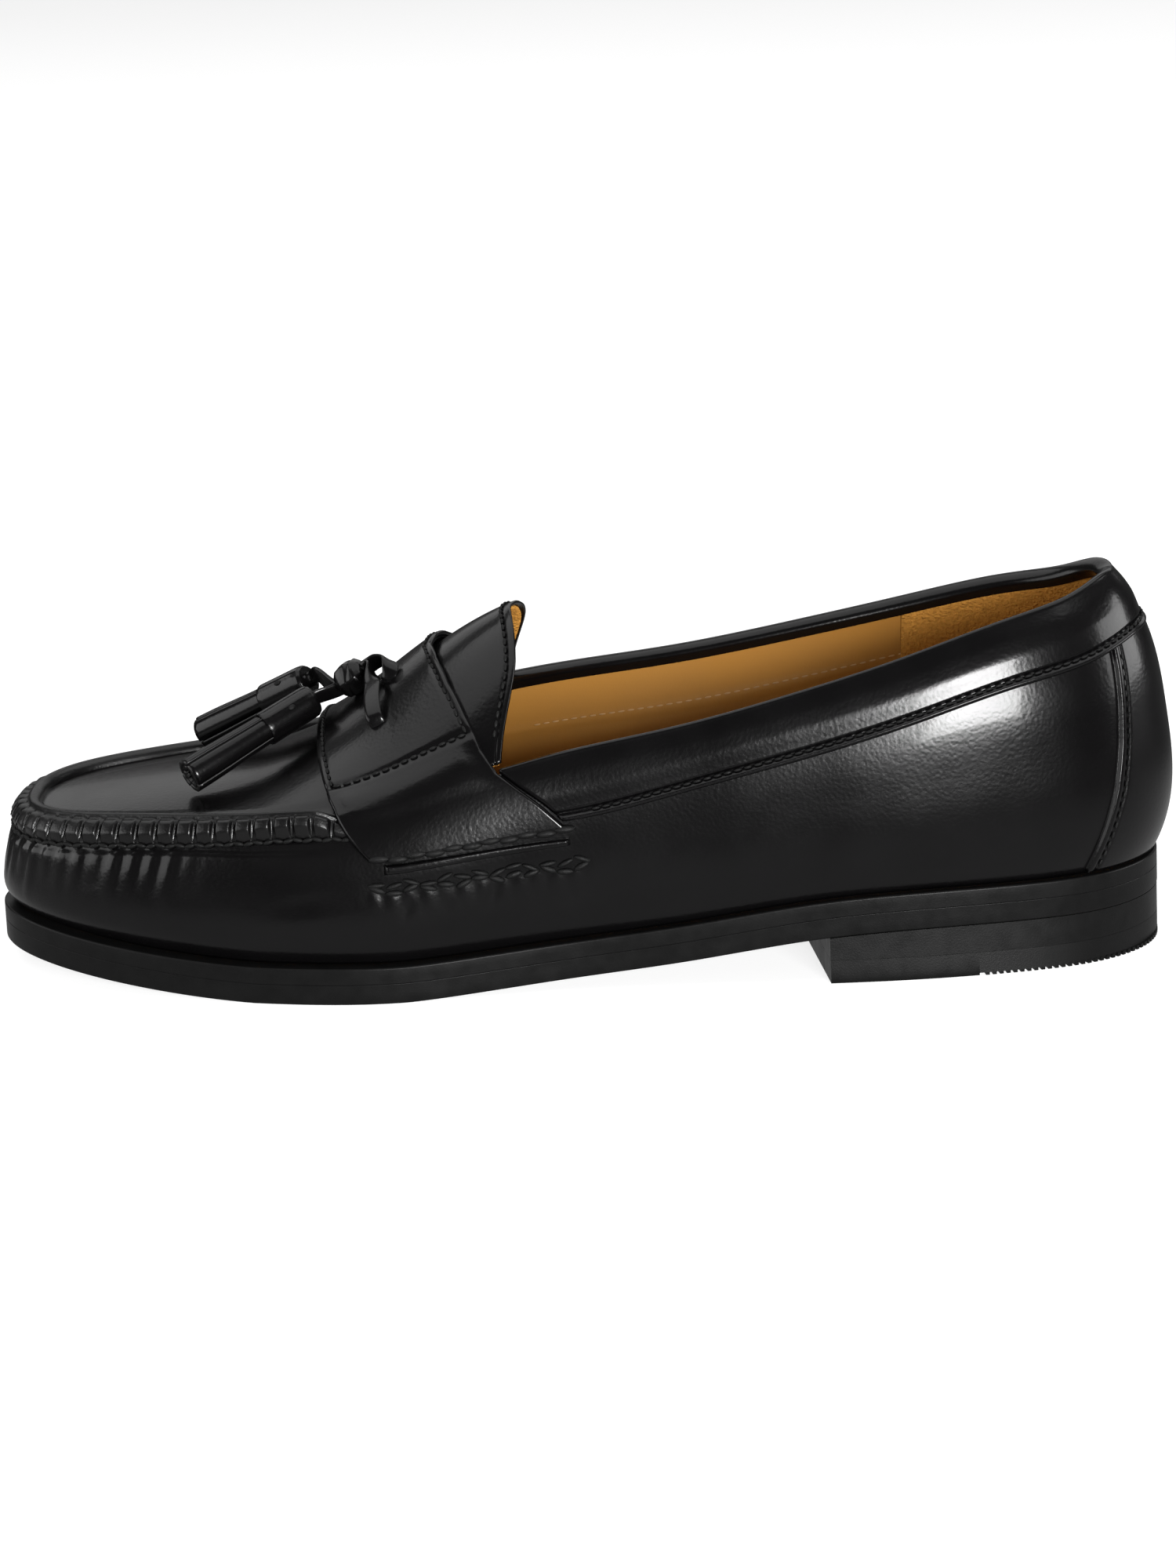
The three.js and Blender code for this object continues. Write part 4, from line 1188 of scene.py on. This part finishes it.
def tassel(name, ends):
    """A rolled cap with an overlapping edge, and fringe strips round a core of more strips."""
    place = round_axis(ends)

    def cap(s, t):
        radius, along = turned(CAP_PROFILE, t)
        fold = 1 - 0.035 * smooth(0.0, 0.03, s) * (1 - smooth(0.97, 1.0, s))
        return place(along, TASSEL_RADIUS * radius * fold, 2 * math.pi * s + 2.2)

    bm = shaped_grid(cap, 72, 42)
    leather = finish_of("polished_leather")
    thicken(finish_piece(name + "_cap", bm, [leather], shells=False, replaces=(name,)), 0.8)
    bm = bmesh.new()
    place_of = place(np.array([0.19, 0.19, 0.23]), TASSEL_RADIUS * np.array([1.0, 1.1, 1.0]),
                     np.array([2.45, 2.45, 2.45]))
    way, run = unit(place_of[1] - place_of[0]), unit(place_of[2] - place_of[0])
    matrix = axes_at(run * 1.5, np.cross(way, run), way * 0.6, place_of[0])
    bmesh.ops.create_uvsphere(bm, u_segments=10, v_segments=8, radius=0.7,
                              matrix=Matrix.Scale(MM, 4) @ matrix)
    finish_piece(name + "_stitch", bm, [finish_of("dull_thread")], shells=False)
    bm = bmesh.new()
    for layer, drop in ((0, 0.0), (1, 1.35)):
        for middle, width, end, rise in STRIPS:
            turn = 2 * math.pi * (middle + 0.07 * layer)

            def strip(s, t):
                along = 0.36 + (end - 0.004 * layer - 0.36) * t
                spread = 0.86 + 0.13 * smooth(0, 0.9, t)
                radius = TASSEL_RADIUS * spread - drop + rise * t + 0 * s
                radius = radius - 0.12 * (2 * s - 1) ** 2
                return place(along, radius, turn + 2 * math.pi * width * 0.96 * (s - 0.5))

            outer = add_grid(bm, strip, 6, 20)
            faces = list({face for vert in outer for face in vert.link_faces})
            for face in faces:
                face.normal_update()
            axis = Vector(ends[0] * MM)
            lean = sum((f.calc_center_median() - axis).dot(f.normal) for f in faces)
            if lean < 0:
                bmesh.ops.reverse_faces(bm, faces=faces)
    fringe = add_piece(name + "_fringe", bm, [leather, finish_of("matt_leather")])
    thicken(fringe, 1.15, inside=1, rim=1)


def smooth_line(points, count):
    """An even curve through the points."""
    points = np.asarray(points, float)
    padded = np.concatenate(([2 * points[0] - points[1]], points, [2 * points[-1] - points[-2]]))
    fine = []
    for i in range(len(points) - 1):
        p0, p1, p2, p3 = padded[i:i + 4]
        for t in np.linspace(0, 1, 24, endpoint=False):
            fine.append(0.5 * (2 * p1 + (p2 - p0) * t + (2 * p0 - 5 * p1 + 4 * p2 - p3) * t * t
                               + (3 * p1 - p0 - 3 * p2 + p3) * t**3))
    fine.append(points[-1])
    fine = np.array(fine)
    length = run_of(fine)
    at = np.linspace(0, length[-1], count)
    return np.stack([np.interp(at, length, fine[:, i]) for i in range(3)], -1), length[-1]


def thong(name, points, widths):
    """A flat leather thong along a smooth line, its width turning evenly between given ways."""
    line, length = smooth_line(points, THONG_POINTS)
    tangent = unit(np.gradient(line, axis=0))
    numbers = np.linspace(0, 1, THONG_POINTS)
    given = np.linspace(0, 1, len(widths))
    way = np.stack([np.interp(numbers, given, np.array(widths, float)[:, i]) for i in range(3)], -1)
    thick_way = unit(np.cross(tangent, way))
    way = np.cross(thick_way, tangent)

    def shape(s, t):
        i = np.clip(np.round(s * (THONG_POINTS - 1)).astype(int), 0, THONG_POINTS - 1)
        turn = 2 * math.pi * t
        past_end = (1 - np.minimum(s, 1 - s) / ROUNDED_END).clip(0)
        end = np.sqrt(np.maximum(0, 1 - past_end**2))
        wide = THONG_WIDTH / 2 * (0.75 + 0.25 * end)
        across = np.sign(np.cos(turn)) * np.abs(np.cos(turn)) ** 0.55 * wide
        high = THONG_THICK / 2 * (0.4 + 0.6 * end)
        high = high * np.sign(np.sin(turn)) * np.abs(np.sin(turn)) ** 0.7
        return line[i] + way[i] * across[..., None] + thick_way[i] * high[..., None]

    bm = shaped_grid(shape, THONG_POINTS - 1, 24)
    bmesh.ops.remove_doubles(bm, verts=bm.verts, dist=MERGE)
    bmesh.ops.holes_fill(bm, edges=[e for e in bm.edges if e.is_boundary], sides=0)
    return finish_piece(name, bm, [finish_of("polished_leather")], shells=False), line, length


# along, across and lift over the form, on each thong's way from its slot to the knot
NEAR_LOOP = ((0.6526, 0.500, 2.0), (0.6526, 0.455, 4.6), (0.6520, 0.330, 5.6),
             (0.6500, 0.180, 5.9), (0.6510, 0.040, 6.0))
FAR_LOOP = ((0.6440, 0.130, 2.2), (0.6370, 0.090, 4.2), (0.6360, 0.020, 5.6),
            (0.6440, -0.060, 6.6))


def straight(ends, shares):
    """Points on the straight line between two ends."""
    start, end = ends
    return [start + (end - start) * share for share in shares]


class LOAFER_OT_thongs(bpy.types.Operator):
    """Build the two thongs and their knot"""

    bl_idname = "loafer.thongs"
    bl_label = "Thongs and knot"

    def execute(self, context):
        place = round_axis(KNOT_ENDS)
        for side, loop, nodes in (
            ("near", NEAR_LOOP, ("lace_loop_near", "lace_end_near")),
            ("far", FAR_LOOP, ("lace_loop_far", "lace_end_far")),
        ):
            shift = np.array([0, KNOT_SHIFT if side == "near" else -KNOT_SHIFT, 0])
            points = [over(*row) for row in loop]
            points += [point + shift for point in straight(KNOT_ENDS[::-1], (-0.15, 0.5, 1.15))]
            if side == "far":
                points.append(over(0.697, -0.22, 11.8))
            points += straight(TASSEL_ENDS[side], (-0.03, 0.06))
            first = (1, 0, -0.35) if side == "near" else (1, -0.4, 0.5)
            widths = [first, first, first, (0.5, 0, 0.8), (0, 0, 1), (0, 0.3, 1), (0, 0.3, 1)]
            piece, line, length = thong("thong_" + side, points, widths)
            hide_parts(*nodes)

        def body(s, t):
            radius, along = turned(KNOT_PROFILE, t)
            radius = KNOT_RADIUS * KNOT_SWELL * radius
            angle = 2 * math.pi * s
            facet = np.cos(math.pi / 6) / np.cos((angle % (math.pi / 3)) - math.pi / 6)
            crease = 1 - 0.06 * trough(along - 0.5 - 0.25 * np.sin(angle), 0.08)
            return place(along, radius * (0.35 + 0.65 * facet) * crease, angle)

        finish_piece("knot", shaped_grid(body, 72, 36), [finish_of("polished_leather")],
                     shells=False, replaces=("lace_knot",))
        return {"FINISHED"}


class LOAFER_OT_tassels(bpy.types.Operator):
    """Build the two tassels"""

    bl_idname = "loafer.tassels"
    bl_label = "Tassels"

    def execute(self, context):
        for side in ("near", "far"):
            tassel("tassel_" + side, TASSEL_ENDS[side])
        return {"FINISHED"}


# ---- stitching ----

ROW_SPACING = 1.1
ROW_SAMPLES = 900
LOOK_AHEAD = 0.4
# X at both ends of the row and of the strip along the strap's foot
FOOT_ROW = (161.0, 109.8)
FOOT_STRIP = (157.7, 111.0)


def stitch_row(bm, path, pitch, share, radius, proud=0.5, wave=0.0):
    """Stitches of one row. path(t) gives points and outward ways; lengths are in millimetres."""
    t = np.linspace(0, 1, ROW_SAMPLES)
    points, ways = path(t)
    length = run_of(points)
    count = max(1, int(round(length[-1] / pitch)))
    for number in range(count):
        at = (number + 0.5) * length[-1] / count
        here, way = (np.array([np.interp(at, length, values[:, i]) for i in range(3)])
                     for values in (points, ways))
        ahead = np.array([np.interp(at + LOOK_AHEAD, length, points[:, i]) for i in range(3)])
        behind = np.array([np.interp(at - LOOK_AHEAD, length, points[:, i]) for i in range(3)])
        run, way = unit(ahead - behind), unit(way)
        side = np.cross(way, run)
        here = here + way * (radius * proud) + side * wave * (-1) ** number
        matrix = axes_at(run * pitch * share / 2, side * radius, way * radius, here)
        matrix = Matrix.Scale(MM, 4) @ matrix
        bmesh.ops.create_uvsphere(bm, u_segments=8, v_segments=6, radius=1.0,
                                  matrix=matrix @ Matrix.Rotation(math.pi / 2, 4, "Y"))


def body_path(x_of, g_of, lift):
    """A stitch path over the whole shoe's face."""
    def path(t):
        k = station_at(x_of(t))
        g = g_of(t)
        return on_body(k, g, lift + 0 * t), body_normal(k, g)

    return path


def line_of(start, end):
    """An even run from start to end."""
    return lambda t: start + (end - start) * t


def collar_stitches(bm, pitch, thread):
    """The row along the collar's lower edge."""
    def path(t):
        at = -COLLAR_ROW_END + 2 * COLLAR_ROW_END * t
        foot = panel_foot(at % RING)
        v = foot + 2.0 / rim_height(at % RING)
        u = slanted(at, v) % RING
        return on_wall(u, v, 1.05 + 0 * t), wall_normal(u, v)

    stitch_row(bm, path, pitch, 0.8, thread * 1.35)


def counter_stitches(bm, pitch, thread):
    """The row along each side of the counter."""
    for side in (1, -1):
        def path(t):
            up = 0.04 + 0.94 * t
            reach = np.interp(up, COUNTER_ROWS[:, 0], COUNTER_ROWS[:, 1])
            far = np.interp(along_edge(reach) - 2.7, ROUND_LENGTH, ROUND)
            u = (side * far) % RING
            v = up * panel_foot(u)
            return on_wall(u, v, 1.0 + 0 * t), wall_normal(u, v)

        stitch_row(bm, path, pitch, 0.8, thread * 1.35)


def strap_stitches(bm, pitch, thread):
    """Rows along the strap's front and rear edges, and down both ends of its panel."""
    lift = 2 * CLEAR + STRAP_THICK - 0.12
    across = line_of(-STRAP_PANEL, STRAP_PANEL)

    def front(g):
        return strap_edge(g, 1) - STRAP_STITCH_FRONT

    def rear(g):
        return strap_edge(g, 2) + STRAP_STITCH_REAR

    for edge_of in (front, rear):
        row = body_path(lambda t, edge_of=edge_of: edge_of(across(t)), across, lift)
        stitch_row(bm, row, pitch, 0.78, thread * 1.5)
    for g in (STRAP_PANEL, -STRAP_PANEL):
        row = body_path(line_of(front(g), rear(g)), lambda t, g=g: g + 0 * t, lift - 0.2)
        stitch_row(bm, row, pitch, 0.78, thread * 1.5)


def foot_seam(bm, thread):
    """Heavy stitches along the strap's foot, and the gathered row under it, on both sides."""
    gather = line_of(GATHER_ROWS[-1, 0], GATHER_ROWS[0, 0])
    for side in (1, -1):
        edge_row = body_path(line_of(*FOOT_ROW), lambda t: side * (1.280 + 0.092 * t), 2.1)
        stitch_row(bm, edge_row, 4.9, 1.1, thread * 2.1, proud=0.1, wave=0.25)
        for shift, width, lift in ((-0.012, 1.5, -0.1), (0.026, 1.9, -0.35)):
            def across(t, shift=shift):
                x = gather(t)
                line = np.interp(x, GATHER_ROWS[:, 0], GATHER_ROWS[:, 1])
                return side * (line + shift + 0.006 * np.sin(x * 1.9 + shift * 60))

            row = body_path(gather, across, lift)
            stitch_row(bm, row, 4.6, 1.0, thread * width, proud=0.3, wave=0.35)


def tongue_stitches(bm, pitch, thread):
    """The row along the tongue's rear edge."""
    def path(t):
        w = 0.86 * (2 * t - 1)
        k = station_at(THROAT - TONGUE_REACH - tongue_bow(w) + TONGUE_STITCH_INSET)
        return on_body(k, w, -0.05 + 0 * t), body_normal(k, w)

    stitch_row(bm, path, pitch, 0.78, thread * 1.5)


def seam_stitches(gaps, scallops, thread):
    """Threads in the gaps between the gathered blocks, and the scalloped row under them."""
    pitch = sizes().block_pitch / MM
    start, end = seam_place(np.array([SEAM_START + 0.2, RING - SEAM_START - 0.2]))
    for number in range(int(math.ceil(start)), int(math.floor(end)) + 1):
        u = np.interp(along_edge(TOE) + number * pitch, ROUND_LENGTH, ROUND)
        half = np.interp(along_edge(TOE) + (number + 0.5) * pitch, ROUND_LENGTH, ROUND)

        def gap(t):
            point, normal, _ = seam_line(u + 0 * t, 0.72 * t)
            return point + normal * 0.3, normal

        stitch_row(gaps, gap, 8.0, 0.62, thread * 0.75, proud=0.6)

        def scallop(t):
            at = half + (np.interp(along_edge(half) + pitch / 2, ROUND_LENGTH, ROUND) - half) * (
                2 * t - 1)
            point, normal, _ = seam_line(at, 0 * t)
            sag = 0.1 + 0.6 * (1 - (2 * t - 1) ** 2)
            point[..., 2] -= sag
            return point + normal * 0.45, normal

        stitch_row(scallops, scallop, pitch / 2.01, 1.15, thread * 1.35, proud=0.3, wave=0.1)


def lining_row(t):
    """The lining's one visible row, under the topline."""
    u = (LINING_ROW_END * (2 * t - 1)) % RING
    v = 1 - LINING_SEAM / rim_height(u)
    return on_wall(u, v, -2.15 + 0 * t), -wall_normal(u, v)


def foot_strip(sign):
    """The rolled strip along the strap's foot, on the side of the sign."""
    def shape(s, t):
        x = line_of(*FOOT_STRIP)(s)
        g = 1.352 + 0.087 * s + (0.066 - 0.024 * s) * (t - 0.5)
        ends = smooth(0, 0.02, s) * (1 - smooth(0.985, 1.0, s))
        rise = 1.9 * np.sqrt(np.maximum(0, 1 - (2 * t - 1) ** 4)) * ends
        return on_body(station_at(x), sign * g, 0.1 + rise)

    return shape


class LOAFER_OT_stitching(bpy.types.Operator):
    """Sew the panels, the strap's foot, the toe seam and the lining"""

    bl_idname = "loafer.stitching"
    bl_label = "Stitching"

    def execute(self, context):
        pitch, thread = sizes().stitch / MM * ROW_SPACING, sizes().thread / MM / 2
        panels, feet, gaps, scallops, inside = (bmesh.new() for _ in range(5))
        collar_stitches(panels, pitch, thread)
        counter_stitches(panels, pitch, thread)
        strap_stitches(panels, pitch, thread)
        tongue_stitches(panels, pitch, thread)
        foot_seam(feet, thread * 1.6)
        seam_stitches(gaps, scallops, thread * 1.6)
        stitch_row(inside, lining_row, 2.6, 0.7, 0.25)
        for name, bm, finish in (
            ("panel_stitches", panels, "dull_thread"),
            ("foot_stitches", feet, "dull_thread"),
            ("toe_stitches", gaps, "waxed_thread"),
            ("toe_scallops", scallops, "dull_thread"),
            ("lining_stitches", inside, "lining_thread"),
        ):
            finish_piece(name, bm, [finish_of(finish)], shells=False)
        leather = finish_of("polished_leather")
        for side, sign in (("outer", 1), ("inner", -1)):
            leather_sheet("foot_strip_" + side, foot_strip(sign), 120, 14, 0.3, [leather])
        return {"FINISHED"}


# ---- stage ----

VIEW_TILT = math.radians(16)
VIEW_TURN = math.radians(-2)
VIEW_ROLL = math.radians(2.5)
VIEW_DISTANCE = 1.3
VIEW_TARGET = Vector((0.107, 0.0055, 0.045))
PIXELS_PER_MM = 4.96
PHOTO_HEIGHT = 2000
SENSOR_WIDTH = 36


def add_camera():
    """A camera at the photograph's angle, rolled as the photograph is."""
    back = Vector((math.sin(VIEW_TURN) * math.cos(VIEW_TILT),
                   math.cos(VIEW_TURN) * math.cos(VIEW_TILT), math.sin(VIEW_TILT)))
    right = Vector((-math.cos(VIEW_TURN), math.sin(VIEW_TURN), 0))
    up = back.cross(right)
    across = right * math.cos(VIEW_ROLL) - up * math.sin(VIEW_ROLL)
    upright = right * math.sin(VIEW_ROLL) + up * math.cos(VIEW_ROLL)
    camera = bpy.data.objects.new("camera", bpy.data.cameras.new("camera"))
    camera.matrix_world = axes_at(across, upright, back, VIEW_TARGET + back * VIEW_DISTANCE)
    camera.data.sensor_width = SENSOR_WIDTH
    camera.data.lens = SENSOR_WIDTH * PIXELS_PER_MM * VIEW_DISTANCE * 1000 / PHOTO_HEIGHT
    camera.data.clip_start = 0.05
    bpy.context.scene.collection.objects.link(camera)
    bpy.context.scene.camera = camera


def add_softbox(name, place, target, size, power):
    """A rectangular lamp that faces its target."""
    light = bpy.data.lights.new(name, "AREA")
    light.shape = "RECTANGLE"
    light.size, light.size_y = size
    light.energy = power
    lamp = bpy.data.objects.new(name, light)
    lamp.location = place
    lamp.rotation_euler = (Vector(target) - Vector(place)).to_track_quat("-Z", "Y").to_euler()
    bpy.context.scene.collection.objects.link(lamp)


class LOAFER_OT_stage(bpy.types.Operator):
    """Set the camera, the floor and the lights"""

    bl_idname = "loafer.stage"
    bl_label = "Camera, floor and lights"

    def execute(self, context):
        add_camera()
        bm = bmesh.new()
        bmesh.ops.create_grid(bm, x_segments=1, y_segments=1, size=6)
        mesh = bpy.data.meshes.new("floor")
        bm.to_mesh(mesh)
        bm.free()
        floor = bpy.data.objects.new("floor", mesh)
        material, tree, shader = new_material("pale_floor")
        path = add_node(tree, "ShaderNodeLightPath")
        glossy = path.outputs["Is Glossy Ray"]
        place = add_node(tree, "ShaderNodeTexCoord")
        centred = add_node(
            tree, "ShaderNodeMapping",
            {"Vector": place.outputs["Object"], "Location": (-0.32, 0.0, 0.0),
             "Scale": (3.0, 6.5, 1.0)},
        )
        far = add_node(tree, "ShaderNodeVectorMath", {0: centred.outputs["Vector"]},
                       operation="LENGTH")
        near = add_node(
            tree, "ShaderNodeMapRange",
            {"Value": far.outputs["Value"], "From Min": 0.55, "From Max": 1.5, "To Min": 1.0,
             "To Max": 0.0},
            interpolation_type="SMOOTHSTEP",
        )
        # Painted reflection: to glossy rays the floor glows as a bright disk round the shoe that
        # fades to dark further out, and its lit colour turns darker; seen straight on, it glows
        # evenly pale.
        reflected_glow = mix_colours(tree, near.outputs["Result"], (0.02, 0.02, 0.02), (0.36, 0.36, 0.36))
        tree.links.new(
            mix_colours(tree, glossy, (0.4, 0.4, 0.4), (0.05, 0.05, 0.05)),
            shader.inputs["Base Color"],
        )
        seen = mix_colours(tree, glossy, (0.8, 0.8, 0.8), (0, 0, 0))
        tree.links.new(reflected_glow, seen.node.inputs[7])
        tree.links.new(seen, shader.inputs["Emission Color"])
        shader.inputs["Roughness"].default_value = 0.9
        shader.inputs["Specular IOR Level"].default_value = 0.0
        shader.inputs["Emission Strength"].default_value = 1.0
        mesh.materials.append(material)
        context.scene.collection.objects.link(floor)
        add_softbox("overhead", (0.15, -0.25, 1.45), (0.15, 0, 0), (2.6, 1.8), 21)
        add_softbox("back", (0.1, -1.7, 0.75), (0.1, 0, 0.05), (2.6, 0.7), 3.6)
        add_softbox("toe_side", (1.5, 0.35, 0.3), (0.2, 0, 0.04), (1.8, 1.1), 15.0)
        add_softbox("heel_side", (-1.2, -0.1, 0.35), (0.0, 0, 0.04), (0.8, 0.6), 8.0)
        add_softbox("window", (-0.33, 1.28, 0.30), (0.0, 0.03, 0.07), (0.48, 0.36), 27)
        add_softbox("window_side", (-0.13, 1.28, 0.40), (0.03, 0.03, 0.07), (0.26, 0.34), 3)
        world = bpy.data.worlds.new("studio")
        context.scene.world = world
        world.use_nodes = True
        world.node_tree.nodes["Background"].inputs["Color"].default_value = (1, 1, 1, 1)
        world.node_tree.nodes["Background"].inputs["Strength"].default_value = 0.06
        context.scene.view_settings.view_transform = "Standard"
        return {"FINISHED"}


class LOAFER_PT_panel(bpy.types.Panel):
    """Lists the loafer's pieces, sizes and colours"""

    bl_label = "Loafer"
    bl_idname = "LOAFER_PT_panel"
    bl_space_type = "VIEW_3D"
    bl_region_type = "UI"
    bl_category = "Loafer"

    def draw(self, context):
        for operator in OPERATORS:
            self.layout.operator(operator.bl_idname)
        for group in (context.scene.loafer_sizes, context.scene.loafer_colours):
            for name in group.__annotations__:
                self.layout.prop(group, name)


OPERATORS = (
    LOAFER_OT_stage,
    LOAFER_OT_tassels,
    LOAFER_OT_thongs,
    LOAFER_OT_upper,
    LOAFER_OT_toe_seam,
    LOAFER_OT_strap,
    LOAFER_OT_collar,
    LOAFER_OT_lining,
    LOAFER_OT_sole,
    LOAFER_OT_stitching,
)
CLASSES = (LoaferSizes, LoaferColours, *OPERATORS, LOAFER_PT_panel)


def register():
    """Make the operators, sizes, colours and panel known."""
    for item in CLASSES:
        bpy.utils.register_class(item)
    bpy.types.Scene.loafer_sizes = bpy.props.PointerProperty(type=LoaferSizes)
    bpy.types.Scene.loafer_colours = bpy.props.PointerProperty(type=LoaferColours)


def unregister():
    """Take them away again."""
    del bpy.types.Scene.loafer_colours
    del bpy.types.Scene.loafer_sizes
    for item in reversed(CLASSES):
        bpy.utils.unregister_class(item)


def main():
    """Build the loafer."""
    register()
    for operator in OPERATORS:
        group, name = operator.bl_idname.split(".")
        getattr(getattr(bpy.ops, group), name)()


if __name__ == "__main__":
    main()
